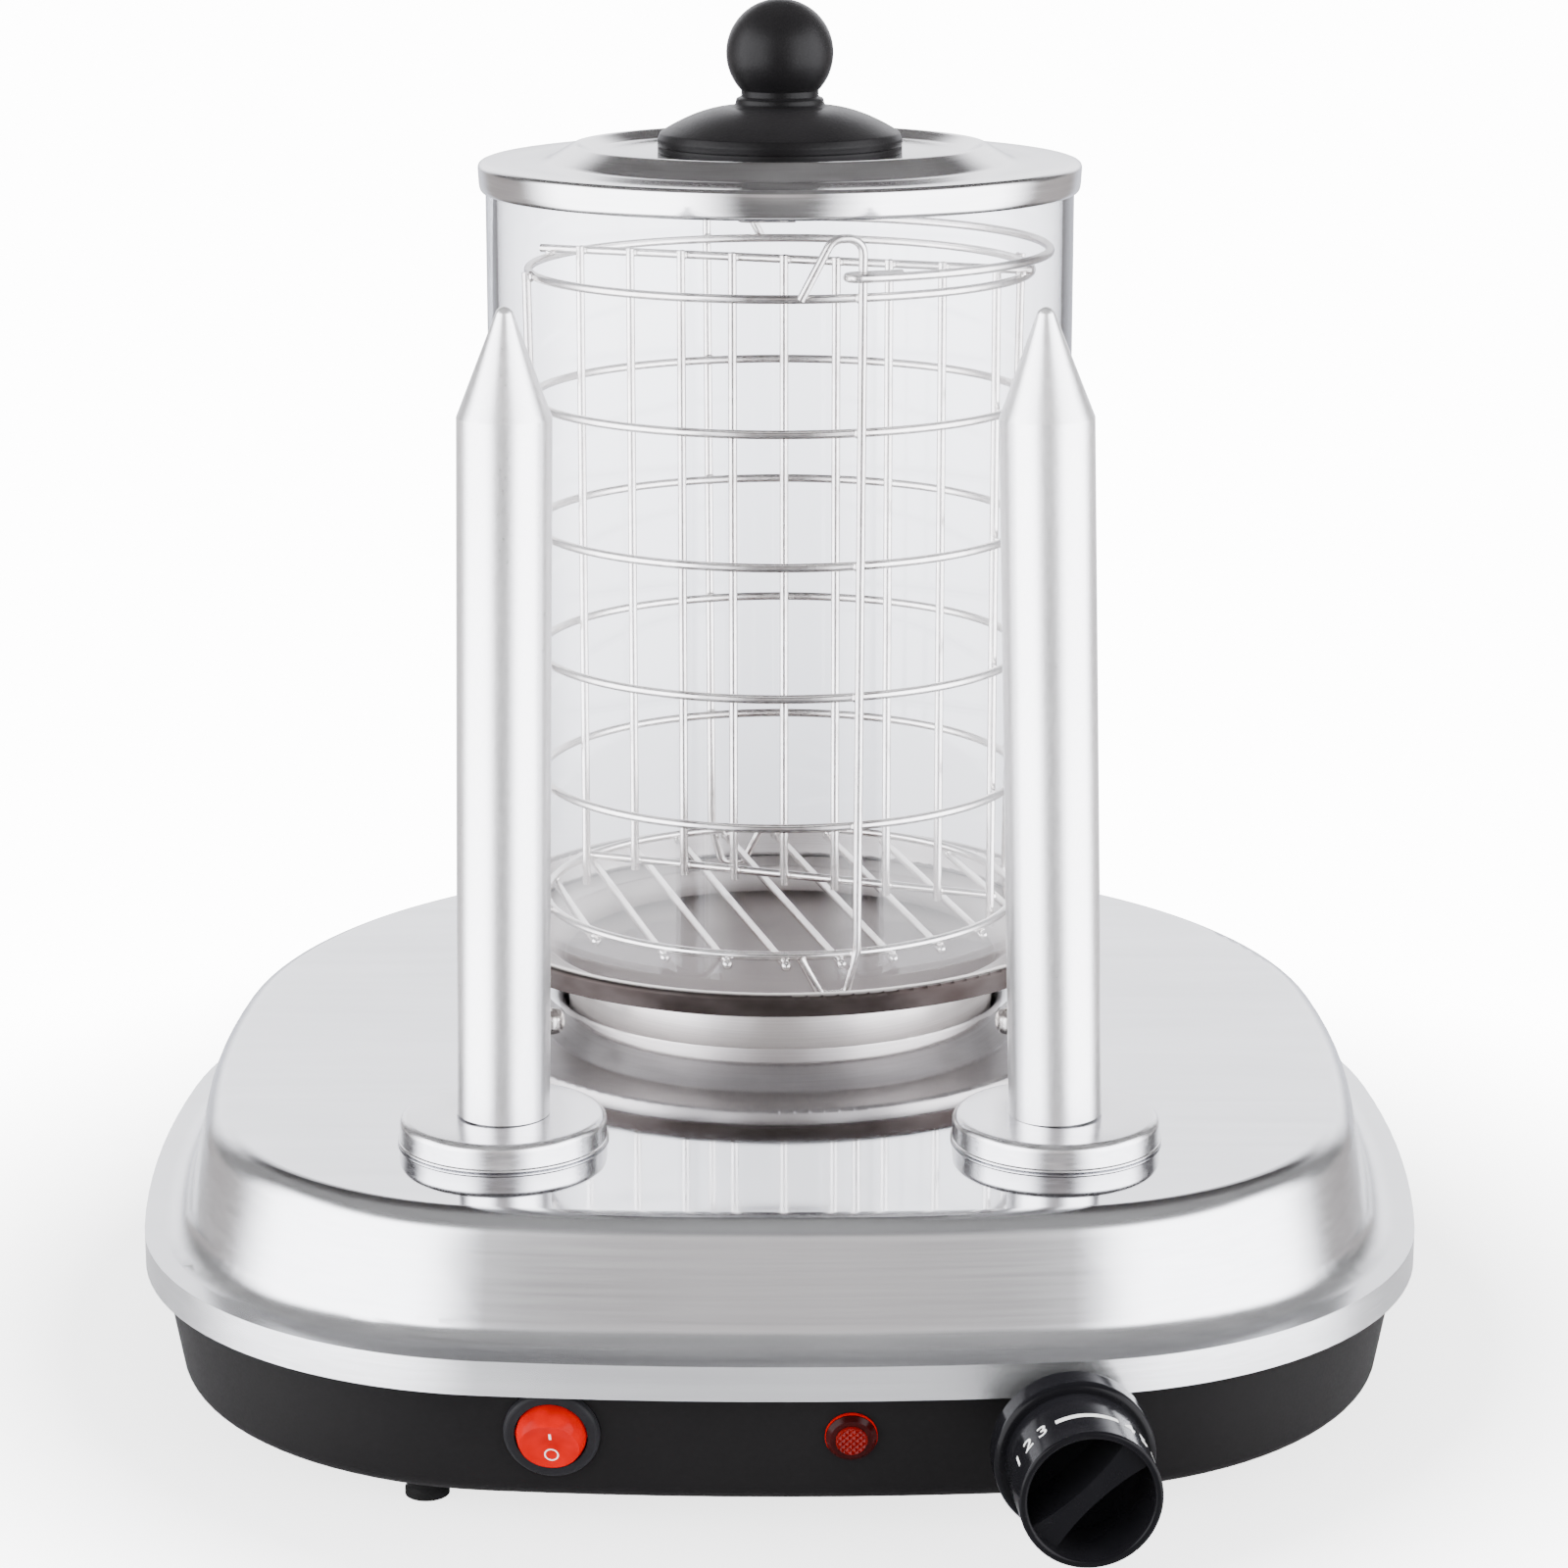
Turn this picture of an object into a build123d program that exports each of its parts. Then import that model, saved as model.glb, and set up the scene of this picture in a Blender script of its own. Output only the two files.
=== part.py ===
import math
import os

from build123d import *

os.makedirs("parts", exist_ok=True)

# Household hot dog cooker: a steamer with a glass cylinder and a wire basket,
# and two heated bun spikes on one steel-topped base. Millimetres, +Z up, the
# front with its controls towards -Y, the origin on the table under the middle.

# Plan of the base, four arcs on each side of the middle
front_bow_r = 680.0
front_bow_angle = 5.93
corner_r = 102.0
corner_angle = 76.17
side_bow_r = 493.0
side_angle = 12.9

# Where the bowl's axis stands, and how far the base reaches in front of it
bowl_y = 53.53
front_reach = 212.0

# Top plate
sheet = 0.8
foot_height = 8.4
pan_height = 37.0
plateau_rise = 29.5
lip_drop = 8.5
wall_foot_inset = 10.7
wall_taper = 12.0
roll_r = 7.0
cove_r = 7.0

# Base pan
pan_sheet = 1.2
pan_lean = 10.0
pan_edge_gap = 2.2
pan_bottom_r = 5.0

# Water bowl and its collar
bowl_sheet = 0.6
bowl_rim_r = 86.0
bowl_rim_rise = 20.5
bowl_lip = 5.7
bowl_rim_land = 3.0
bowl_ledge_rise = 13.2
bowl_ledge_inner_r = 66.0
bowl_floor_r = 60.5
bowl_floor_rise = 7.2
collar_r = 59.3
collar_depth = 14.0
collar_lip = 4.0
collar_flange_r = 82.0
hole_gap = 0.6
hole_roll_r = 9.0

# Glass cylinder
glass_r = 79.2
glass_wall = 3.0
glass_seat_gap = 0.8
glass_length = 214.6

# Lid
lid_r = 81.2
lid_sheet = 0.7
lid_band = 7.8
lid_foot_r = 63.5
lid_crown_r = 54.8
lid_crown_rise = 4.5
lid_dish_drop = 2.4
lid_dish_r = 50.5

# Lid knob
grip_base_r = 32.9
grip_side = 5.2
grip_dome = 7.2
grip_collar_r = 11.8
grip_collar = 2.3
grip_neck_r = 10.4
grip_ball_r = 14.4
grip_ball_rise = 26.4
grip_wall = 3.2
grip_hollow = 3.4
grip_boss_r = 6.5
insert_r = 3.2
insert_length = 12.0

# Basket
wire_r = 1.15
weld = 0.1
basket_top_r = 68.0
basket_bottom_r = 65.2
hoop_count = 6
basket_headroom = 28.3
hoop_low_rise = 10.45
foot_gap = 0.2
foot_tip = 15.0
foot_heel = 9.5
foot_toe = 3.0
front_ear_angle = -72.5
rear_ear_angle = 107.5
ear_rise = 15.5
ear_top = 8.0
ear_reach = 16.0
side_strut_angles = (17.5, -162.5)
divider_angle = -20.5
divider_shift = 2.0
divider_half = 71.0
divider_pitch = 15.0
divider_wires = 9
divider_low_rise = 4.2
divider_tail = 3.8
basket_floor_angle = 104.0
basket_floor_pitch = 14.6
basket_floor_wires = 9
basket_floor_stub = 2.2

# Bail
bail_r = 1.2
bail_gap = 0.3
bail_rise = 5.6
bail_tail = 13.0
bail_front_side = -1.3
bail_rear_side = -12.55

# Bun spikes and their discs
spike_x = 68.3
spike_set = 74.2
spike_forward = front_reach - spike_set
spike_r = 11.5
spike_top = 207.0
spike_leans = (0.9, -1.45)
spike_seat_gap = 0.3
spike_fit = 0.5
spike_cone = 26.5
spike_tip_r = 2.3
spike_bore_r = 6.3
spike_shank_r = 8.0
disc_r = 25.6
disc_bead_r = 26.1
disc_bead = 0.9
disc_height = 6.8
disc_edge_r = 2.0
nut_height = 6.0
nut_across = 24.0
heater_r = 6.25
heater_length = 150.0

# Controls on the front wall
control_height = 26.7
knob_height = 28.3
knob_x = 66.6
knob_angle = 5.3
knob_gap = 6.5
knob_flange_r = 18.9
knob_flange = 8.5
knob_tube_r = 16.4
knob_tube = 21.7
knob_wall = 1.9
knob_cavity = 18.0
knob_hub_r = 6.0
knob_bar_end = 4.2
knob_bar_waist = 2.2
knob_bar_set = 2.5
knob_bar_turn = 43.0
shaft_r = 3.0
shaft_fit = 0.05
switch_x = -53.2
bezel_r = 11.4
bezel = 2.0
bezel_bore_r = 8.7
switch_body_r = 9.9
switch_depth = 19.0
rocker_r = 8.35
rocker_rise = 0.4
rocker_face = 3.7
rocker_dish_r = 30.0
rocker_tilt = 15.5
rocker_pin_r = 0.9
rocker_pin_reach = 9.4
lamp_x = 16.8
lamp_r = 6.0
lamp_flange = 2.2
lamp_lens_r = 3.7
lamp_lens = 1.0
lamp_body_r = 4.9
lamp_depth = 16.0

# Feet and fasteners
foot_r = 6.4
foot_tread_r = 5.4
front_foot_x = 85.0
front_foot_set = 34.0
front_foot_forward = front_reach - front_foot_set
rear_foot_x = 78.0
rear_foot_back = 92.0
screw_r = 2.0
screw_head_r = 3.7
screw_head = 2.6
dome_head = 3.4
screw_fit = 0.1
m4_nut_r = 3.9
m4_nut = 3.2
collar_screw_ring = 75.6
collar_screw_angle = 35.0
stud_r = 4.0
front_stud_x = 108.0
front_stud_set = 94.0
front_stud_forward = front_reach - front_stud_set
rear_stud_back = 100.0

# Heights that follow
pan_z = foot_height
pan_top_z = pan_z + pan_height
rim_z = pan_top_z + sheet
plate_z = rim_z + plateau_rise
lip_z = rim_z - lip_drop
rim_top_z = plate_z + bowl_rim_rise
ledge_z = plate_z + bowl_ledge_rise
floor_z = plate_z + bowl_floor_rise
lid_z = ledge_z + glass_length + lid_sheet
crown_z = lid_z + lid_crown_rise
dish_z = crown_z - lid_dish_drop
front_y = bowl_y - front_reach
spike_y = bowl_y - spike_forward
disc_z = plate_z + disc_height
under_plate_z = plate_z - sheet
foot_wire_z = ledge_z + foot_gap + wire_r
hoop_low_z = foot_wire_z + hoop_low_rise
hoop_top_z = ledge_z + glass_length - basket_headroom
hoop_pitch = (hoop_top_z - hoop_low_z) / (hoop_count - 1)


def arc_end(point, heading, radius, sweep):
    turned = heading + sweep
    x = point[0] + radius * (math.sin(turned) - math.sin(heading))
    y = point[1] - radius * (math.cos(turned) - math.cos(heading))
    return (x, y), turned


# The rear arc closes the outline on the middle plane
end, heading = arc_end((0, front_y), 0, front_bow_r, math.radians(front_bow_angle))
end, heading = arc_end(end, heading, corner_r, math.radians(corner_angle))
end, heading = arc_end(end, heading, side_bow_r, math.radians(side_angle))
rear_r = end[0] / math.sin(heading)
rear_angle = 180 - math.degrees(heading)
rear_y = end[1] + rear_r * (1 + math.cos(heading))


# Outline of the base at one height, drawn in by an inset
def base_outline(z, inset):
    with BuildSketch(Plane.XY.offset(z)) as plan:
        with BuildLine():
            front = JernArc((0, front_y + inset), (1, 0), front_bow_r - inset, front_bow_angle)
            corner = JernArc(front @ 1, front % 1, corner_r - inset, corner_angle)
            side = JernArc(corner @ 1, corner % 1, side_bow_r - inset, side_angle)
            JernArc(side @ 1, side % 1, rear_r - inset, rear_angle)
            mirror(about=Plane.YZ)
        make_face()
    return plan.sketch


# Point on the bulged front wall, and the frame there, facing out of the wall
def front_point(x, inset):
    y = front_y + front_bow_r - math.sqrt((front_bow_r - inset) ** 2 - x ** 2)
    return y, math.asin(x / (front_bow_r - inset))


def pan_inset(z):
    return pan_edge_gap + sheet + (pan_top_z - z) * math.tan(math.radians(pan_lean))


def wall_plane(x, z):
    y, turn = front_point(x, pan_inset(z))
    lean = math.radians(pan_lean)
    normal = (math.sin(turn) * math.cos(lean), -math.cos(turn) * math.cos(lean), -math.sin(lean))
    return Plane(origin=(x, y, z), x_dir=(math.cos(turn), math.sin(turn), 0), z_dir=normal)


# Upright plane through the bowl's axis, for turned pieces
def turning_plane(x=0.0, y=bowl_y, z=0.0):
    return Plane(origin=(x, y, z), x_dir=(1, 0, 0), z_dir=(0, -1, 0))


bowl_axis = Axis((0, bowl_y, 0), (0, 0, 1))


# The pressed form of the top plate, or the same form one sheet further in
def plate_form(skin):
    with BuildPart() as form:
        extrude(base_outline(lip_z, skin), amount=rim_z - lip_z - skin)
        wall = base_outline(rim_z - skin, wall_foot_inset + skin)
        extrude(wall, amount=plateau_rise, taper=wall_taper)
        rim_face = form.faces().filter_by(Axis.Z).sort_by(Axis.Z)[1]
        fillet(rim_face.inner_wires()[0].edges(), radius=cove_r + skin)
        fillet(form.edges().group_by(Axis.Z)[-1], radius=roll_r - skin)
    return form.part


bowl_hole_r = collar_r + hole_gap
hole_edge_z = plate_z - hole_roll_r

with BuildPart() as top_plate:
    add(plate_form(0))
    add(plate_form(sheet), mode=Mode.SUBTRACT)
    with Locations((0, bowl_y, plate_z)):
        Cylinder(bowl_hole_r + hole_roll_r, 4 * sheet, mode=Mode.SUBTRACT)
    with BuildSketch(turning_plane()) as roll:
        with BuildLine():
            Line((bowl_hole_r, hole_edge_z - 2), (bowl_hole_r, hole_edge_z))
            RadiusArc(
                (bowl_hole_r, hole_edge_z), (bowl_hole_r + hole_roll_r, plate_z), hole_roll_r
            )
            Line((bowl_hole_r + hole_roll_r, plate_z), (bowl_hole_r + hole_roll_r, under_plate_z))
            RadiusArc(
                (bowl_hole_r + hole_roll_r, under_plate_z),
                (bowl_hole_r + sheet, hole_edge_z),
                sheet - hole_roll_r,
            )
            Line((bowl_hole_r + sheet, hole_edge_z), (bowl_hole_r + sheet, hole_edge_z - 2))
            Line((bowl_hole_r + sheet, hole_edge_z - 2), (bowl_hole_r, hole_edge_z - 2))
        make_face()
    revolve(axis=bowl_axis)
    with Locations((spike_x, spike_y, plate_z), (-spike_x, spike_y, plate_z)):
        Hole(spike_shank_r + spike_fit, depth=4 * sheet)
    with Locations((0, bowl_y, plate_z)):
        for angle in (collar_screw_angle, -collar_screw_angle):
            with PolarLocations(collar_screw_ring, 2, start_angle=angle):
                Hole(screw_r + screw_fit, depth=4 * sheet)
top_plate.part.label = "top_plate"
export_step(top_plate.part, "parts/top_plate.step")

foot_places = [
    (front_foot_x, bowl_y - front_foot_forward),
    (-front_foot_x, bowl_y - front_foot_forward),
    (rear_foot_x, bowl_y + rear_foot_back),
    (-rear_foot_x, bowl_y + rear_foot_back),
]
stud_places = [
    (front_stud_x, bowl_y - front_stud_forward),
    (-front_stud_x, bowl_y - front_stud_forward),
    (0, bowl_y + rear_stud_back),
]
switch_plane = wall_plane(switch_x, control_height)
lamp_plane = wall_plane(lamp_x, control_height)

# Frame of the thermostat and its knob: level, turned with the bulge, on the lip's face
knob_turn = math.radians(knob_angle)
knob_plane = Plane(
    origin=(knob_x, front_point(knob_x, 0)[0], knob_height),
    x_dir=(math.cos(knob_turn), math.sin(knob_turn), 0),
    z_dir=(math.sin(knob_turn), -math.cos(knob_turn), 0),
)

# Cord inlet on the rounded rear wall, and the frame there
gland_x = -45.0
gland_bore_r = 3.5
gland_r = 6.0
gland_flange_r = 9.0
gland_flange = 3.0
gland_depth = 12.0
rear_wall_r = rear_r - pan_inset(control_height)
gland_turn = math.asin(gland_x / rear_wall_r)
gland_plane = Plane(
    origin=(gland_x, rear_y - rear_r + rear_wall_r * math.cos(gland_turn), control_height),
    x_dir=(-math.cos(gland_turn), math.sin(gland_turn), 0),
    z_dir=(
        math.sin(gland_turn) * math.cos(math.radians(pan_lean)),
        math.cos(gland_turn) * math.cos(math.radians(pan_lean)),
        -math.sin(math.radians(pan_lean)),
    ),
)

with BuildPart() as base_pan:
    pan_run = pan_top_z - pan_z
    extrude(base_outline(pan_z, pan_inset(pan_z)), amount=pan_run, taper=-pan_lean)
    fillet(base_pan.edges().group_by(Axis.Z)[0], radius=pan_bottom_r)
    with BuildPart(mode=Mode.PRIVATE) as pan_inside:
        inside_z = pan_z + pan_sheet
        inside = base_outline(inside_z, pan_inset(inside_z) + pan_sheet)
        extrude(inside, amount=pan_top_z - inside_z, taper=-pan_lean)
        fillet(pan_inside.edges().group_by(Axis.Z)[0], radius=pan_bottom_r - pan_sheet)
    add(pan_inside.part, mode=Mode.SUBTRACT)
    with Locations(*[(x, y, pan_z) for x, y in foot_places + stud_places]):
        Cylinder(screw_r + screw_fit, 4 * pan_sheet, mode=Mode.SUBTRACT)
    with Locations(switch_plane):
        Cylinder(switch_body_r + screw_fit, 6 * pan_sheet, mode=Mode.SUBTRACT)
    with Locations(lamp_plane):
        Cylinder(lamp_body_r + screw_fit, 6 * pan_sheet, mode=Mode.SUBTRACT)
    with Locations(knob_plane.offset(-pan_inset(control_height))):
        Cylinder(2 * shaft_r, 8 * pan_sheet, mode=Mode.SUBTRACT)
    with Locations(gland_plane):
        Cylinder(gland_r + screw_fit, 6 * pan_sheet, mode=Mode.SUBTRACT)
base_pan.part.label = "base_pan"
export_step(base_pan.part, "parts/base_pan.step")

# Rubber feet, each with a recess for its screw
foot_recess = 4.0
with BuildPart() as feet:
    for x, y in foot_places:
        with BuildSketch(turning_plane(x, y)):
            with BuildLine():
                Polyline(
                    (0, foot_recess + 1),
                    (screw_head_r + 0.5, foot_recess + 1),
                    (screw_head_r + 0.5, 0),
                    (foot_tread_r, 0),
                    (foot_tread_r, 1.6),
                    (foot_tread_r - 0.5, 2.4),
                    (foot_r, foot_height - 2),
                    (foot_r, foot_height),
                    (0, foot_height),
                    close=True,
                )
            make_face()
        revolve(axis=Axis((x, y, 0), (0, 0, 1)))
    with Locations(*[(x, y, foot_height) for x, y in foot_places]):
        Hole(screw_r + screw_fit, depth=foot_height)
feet.part.label = "feet"
export_step(feet.part, "parts/feet.step")

# Foot screws with their heads up in the recess, and nuts inside the pan
foot_screw_top = pan_z + pan_sheet + m4_nut + 1.5
with BuildPart() as foot_screws:
    for x, y in foot_places:
        with Locations((x, y, foot_recess + 1)):
            Cylinder(screw_head_r, screw_head, align=(Align.CENTER, Align.CENTER, Align.MAX))
        with Locations((x, y, foot_recess + 0.5)):
            shank = foot_screw_top - foot_recess - 0.5
            Cylinder(screw_r, shank, align=(Align.CENTER, Align.CENTER, Align.MIN))
foot_screws.part.label = "foot_screws"
export_step(foot_screws.part, "parts/foot_screws.step")


# Hexagon nuts on a list of places, standing up from one height
def hex_nuts(places, z, radius, height, hole):
    with BuildPart() as nuts:
        with BuildSketch(Plane.XY.offset(z)):
            with Locations(*places):
                RegularPolygon(radius, 6)
                Circle(hole, mode=Mode.SUBTRACT)
        extrude(amount=height)
    return nuts.part


foot_nuts = hex_nuts(foot_places, pan_z + pan_sheet, m4_nut_r, m4_nut, screw_r)
foot_nuts.label = "foot_nuts"
export_step(foot_nuts, "parts/foot_nuts.step")

# Three studs hold the plate and the pan together, screwed from below
with BuildPart() as tie_studs:
    with BuildSketch(Plane.XY.offset(pan_z + pan_sheet)):
        with Locations(*stud_places):
            RegularPolygon(stud_r, 6)
            Circle(screw_r, mode=Mode.SUBTRACT)
    extrude(amount=under_plate_z - pan_z - pan_sheet)
tie_studs.part.label = "tie_studs"
export_step(tie_studs.part, "parts/tie_studs.step")

tie_length = 12.0
with BuildPart() as tie_screws:
    for x, y in stud_places:
        with Locations((x, y, pan_z)):
            Cylinder(screw_head_r, screw_head, align=(Align.CENTER, Align.CENTER, Align.MAX))
            Cylinder(screw_r, tie_length, align=(Align.CENTER, Align.CENTER, Align.MIN))
    fillet(tie_screws.edges().group_by(Axis.Z)[0], radius=1.0)
tie_screws.part.label = "tie_screws"
export_step(tie_screws.part, "parts/tie_screws.step")

# Water bowl: down-turned lip, recessed ledge for the glass, sloped wall, flat floor
ledge_outer_r = glass_r + glass_seat_gap
with BuildPart() as water_bowl:
    with BuildSketch(turning_plane()) as bowl_section:
        with BuildLine():
            half = bowl_sheet / 2
            outer = bowl_rim_r - half
            top = rim_top_z - half
            path = FilletPolyline(
                (outer, rim_top_z - bowl_lip),
                (outer, top),
                (outer - bowl_rim_land, top),
                (ledge_outer_r + half, ledge_z - half),
                (bowl_ledge_inner_r, ledge_z - half),
                (bowl_floor_r, floor_z - half),
                (2, floor_z - half),
                radius=1.2,
            )
        trace(line_width=bowl_sheet)
    revolve(axis=bowl_axis)
    with Locations((0, bowl_y, floor_z)):
        Cylinder(3, bowl_sheet, align=(Align.CENTER, Align.CENTER, Align.MAX))
water_bowl.part.label = "water_bowl"
export_step(water_bowl.part, "parts/water_bowl.step")

# Collar under the bowl, with a flange below the plate
bowl_under_z = floor_z - bowl_sheet
collar_z = plate_z - collar_depth
with BuildPart() as bowl_collar:
    with BuildSketch(turning_plane()):
        with BuildLine():
            Polyline(
                (collar_r, bowl_under_z),
                (collar_r, collar_z + sheet),
                (collar_flange_r, collar_z + sheet),
                (collar_flange_r, collar_z),
                (collar_r - sheet, collar_z),
                (collar_r - sheet, bowl_under_z - sheet),
                (collar_r - collar_lip, bowl_under_z - sheet),
                (collar_r - collar_lip, bowl_under_z),
                close=True,
            )
        make_face()
    revolve(axis=bowl_axis)
    with Locations((0, bowl_y, collar_z)):
        for angle in (collar_screw_angle, -collar_screw_angle):
            with PolarLocations(collar_screw_ring, 2, start_angle=angle):
                Cylinder(screw_r + screw_fit, 4 * sheet, mode=Mode.SUBTRACT)
bowl_collar.part.label = "bowl_collar"
export_step(bowl_collar.part, "parts/bowl_collar.step")

collar_screws_at = []
for angle in (collar_screw_angle, 180 - collar_screw_angle, 180 + collar_screw_angle, -collar_screw_angle):
    turn = math.radians(angle)
    x = collar_screw_ring * math.cos(turn)
    y = bowl_y + collar_screw_ring * math.sin(turn)
    collar_screws_at.append((x, y))

with BuildPart() as collar_screws:
    for x, y in collar_screws_at:
        with Locations((x, y, plate_z)):
            Cylinder(screw_head_r, dome_head, align=(Align.CENTER, Align.CENTER, Align.MIN))
    fillet(collar_screws.edges().group_by(Axis.Z)[-1], radius=dome_head - 0.8)
    for x, y in collar_screws_at:
        with Locations((x, y, plate_z)):
            shank = plate_z - collar_z + m4_nut + 1.5
            Cylinder(screw_r, shank, align=(Align.CENTER, Align.CENTER, Align.MAX))
collar_screws.part.label = "collar_screws"
export_step(collar_screws.part, "parts/collar_screws.step")

with BuildPart() as collar_spacers:
    with BuildSketch(Plane.XY.offset(collar_z + sheet)):
        with Locations(*collar_screws_at):
            Circle(screw_head_r)
            Circle(screw_r, mode=Mode.SUBTRACT)
    extrude(amount=under_plate_z - collar_z - sheet)
collar_spacers.part.label = "collar_spacers"
export_step(collar_spacers.part, "parts/collar_spacers.step")

collar_nuts = hex_nuts(collar_screws_at, collar_z - m4_nut, m4_nut_r, m4_nut, screw_r)
collar_nuts.label = "collar_nuts"
export_step(collar_nuts, "parts/collar_nuts.step")

# Heating plate under the bowl's floor, with the element half sunk in its face
heat_gap = 3.3
heat_plate_r = collar_r - collar_lip - heat_gap
heat_plate = 5.0
element_ring_set = 12.0
element_ring_r = heat_plate_r - element_ring_set
element_r = 3.3
element_gap_angle = 30.0
element_tail = 14.0
heat_under_z = bowl_under_z - heat_plate
with BuildPart() as heater_plate:
    with Locations((0, bowl_y, heat_under_z)):
        Cylinder(heat_plate_r, heat_plate, align=(Align.CENTER, Align.CENTER, Align.MIN))
        Torus(element_ring_r, element_r, mode=Mode.SUBTRACT)
heater_plate.part.label = "heater_plate"
export_step(heater_plate.part, "parts/heater_plate.step")

with BuildPart() as heating_element:
    with BuildLine(Plane((0, bowl_y, heat_under_z))) as element_path:
        ring = CenterArc(
            (0, 0), element_ring_r, element_gap_angle / 2, 360 - element_gap_angle
        )
    with BuildSketch(Plane(origin=ring @ 0, z_dir=ring % 0)):
        Circle(element_r)
    sweep(path=element_path.wires()[0])
    tails = [ring @ 0, ring @ 1]
    for tail in tails:
        with Locations((tail.X, tail.Y, tail.Z)):
            Cylinder(element_r, element_tail, align=(Align.CENTER, Align.CENTER, Align.MAX))
            Sphere(element_r)
heating_element.part.label = "heating_element"
export_step(heating_element.part, "parts/heating_element.step")

with BuildPart() as thermal_cutout:
    with Locations((0, bowl_y, heat_under_z)):
        Cylinder(9, 5, align=(Align.CENTER, Align.CENTER, Align.MAX))
        Cylinder(6, 8, align=(Align.CENTER, Align.CENTER, Align.MAX))
    with Locations((0, bowl_y - 5, heat_under_z - 5), (0, bowl_y + 5, heat_under_z - 5)):
        Box(6.3, 0.8, 9, align=(Align.CENTER, Align.CENTER, Align.MAX))
thermal_cutout.part.label = "thermal_cutout"
export_step(thermal_cutout.part, "parts/thermal_cutout.step")

# Bun spikes: cone with a rounded tip, hollow for the heater, threaded shank below.
# Each leans in a little, about the point where it passes the plate
shoulder = spike_top - spike_cone
cone_half = math.atan((spike_r - spike_tip_r) / (spike_cone - spike_tip_r))
touch_x = spike_tip_r * math.cos(cone_half)
touch_z = spike_top - spike_tip_r + spike_tip_r * math.sin(cone_half)
shank_end = -sheet - spike_seat_gap - nut_height - 3
bore_top = shoulder - 10
spike_bases = []
for side, x, lean in zip(("left", "right"), (-spike_x, spike_x), spike_leans):
    tilt = math.radians(lean)
    spike_dir = (math.sin(tilt), 0, math.cos(tilt))
    spike_section = Plane(
        origin=(x, spike_y, plate_z), x_dir=(math.cos(tilt), 0, -math.sin(tilt)), z_dir=(0, -1, 0)
    )
    spike_base = Plane(origin=(x, spike_y, plate_z), x_dir=(0, 1, 0), z_dir=spike_dir)
    spike_bases.append(spike_base)
    with BuildPart() as spike:
        with BuildSketch(spike_section):
            with BuildLine():
                Polyline(
                    (0, spike_top),
                    (0, bore_top),
                    (spike_bore_r, bore_top - 4),
                    (spike_bore_r, shank_end),
                    (spike_shank_r, shank_end),
                    (spike_shank_r, disc_height + spike_seat_gap),
                    (spike_r, disc_height + spike_seat_gap),
                    (spike_r, shoulder),
                    (touch_x, touch_z),
                )
                RadiusArc((touch_x, touch_z), (0, spike_top), -spike_tip_r)
            make_face()
        revolve(axis=Axis(spike_base.origin, spike_base.z_dir))
    spike.part.label = f"{side}_spike"
    export_step(spike.part, f"parts/{side}_spike.step")

    with BuildPart() as spike_heater:
        with BuildSketch(spike_base.offset(bore_top - 5)):
            Circle(heater_r)
        extrude(amount=-heater_length)
        fillet(spike_heater.edges().filter_by(GeomType.CIRCLE), radius=1.0)
    spike_heater.part.label = f"{side}_spike_heater"
    export_step(spike_heater.part, f"parts/{side}_spike_heater.step")

    # Disc cap: a shallow cup with a rounded edge and a bead where it meets the plate
    with BuildPart() as disc:
        with BuildSketch(turning_plane(x, spike_y)):
            with BuildLine():
                Polyline(
                    (spike_shank_r + spike_fit, disc_z - sheet),
                    (disc_r - sheet, disc_z - sheet),
                    (disc_r - sheet, plate_z),
                    (disc_bead_r, plate_z),
                    (disc_bead_r, plate_z + disc_bead),
                    (disc_r, plate_z + disc_bead),
                    (disc_r, disc_z),
                    (spike_shank_r + spike_fit, disc_z),
                    close=True,
                )
            make_face()
        revolve(axis=Axis((x, spike_y, 0), (0, 0, 1)))
        top_rim = disc.faces().filter_by(Axis.Z).sort_by(Axis.Z)[-1].outer_wire().edges()
        fillet(top_rim, radius=disc_edge_r)
    disc.part.label = f"{side}_disc"
    export_step(disc.part, f"parts/{side}_disc.step")

with BuildPart() as spike_nuts:
    for spike_base in spike_bases:
        with BuildSketch(spike_base.offset(-sheet - spike_seat_gap)):
            RegularPolygon(nut_across / math.sqrt(3), 6)
            Circle(spike_shank_r, mode=Mode.SUBTRACT)
        extrude(amount=-nut_height)
spike_nuts.part.label = "spike_nuts"
export_step(spike_nuts.part, "parts/spike_nuts.step")

# Thermostat on an upright bracket behind the wall, on the knob's axis
bracket_back = 22.0
bracket_sheet = 1.5
bracket_width = 34.0
bracket_foot = 18.0
stat_width = 27.0
stat_height = 24.0
stat_depth = 17.0
bushing_r = 4.9
bushing_length = 8.0
bracket_plane = knob_plane.offset(-bracket_back)
with BuildPart() as thermostat_bracket:
    with BuildSketch(bracket_plane):
        bracket_low = pan_z + pan_sheet - knob_height
        with Locations((0, bracket_low)):
            Rectangle(bracket_width, 14 - bracket_low, align=(Align.CENTER, Align.MIN))
        Circle(bushing_r + screw_fit, mode=Mode.SUBTRACT)
    extrude(amount=-bracket_sheet)
    with BuildSketch(bracket_plane):
        with Locations((0, bracket_low)):
            Rectangle(bracket_width, bracket_sheet, align=(Align.CENTER, Align.MIN))
    extrude(amount=-bracket_foot)
thermostat_bracket.part.label = "thermostat_bracket"
export_step(thermostat_bracket.part, "parts/thermostat_bracket.step")

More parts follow.
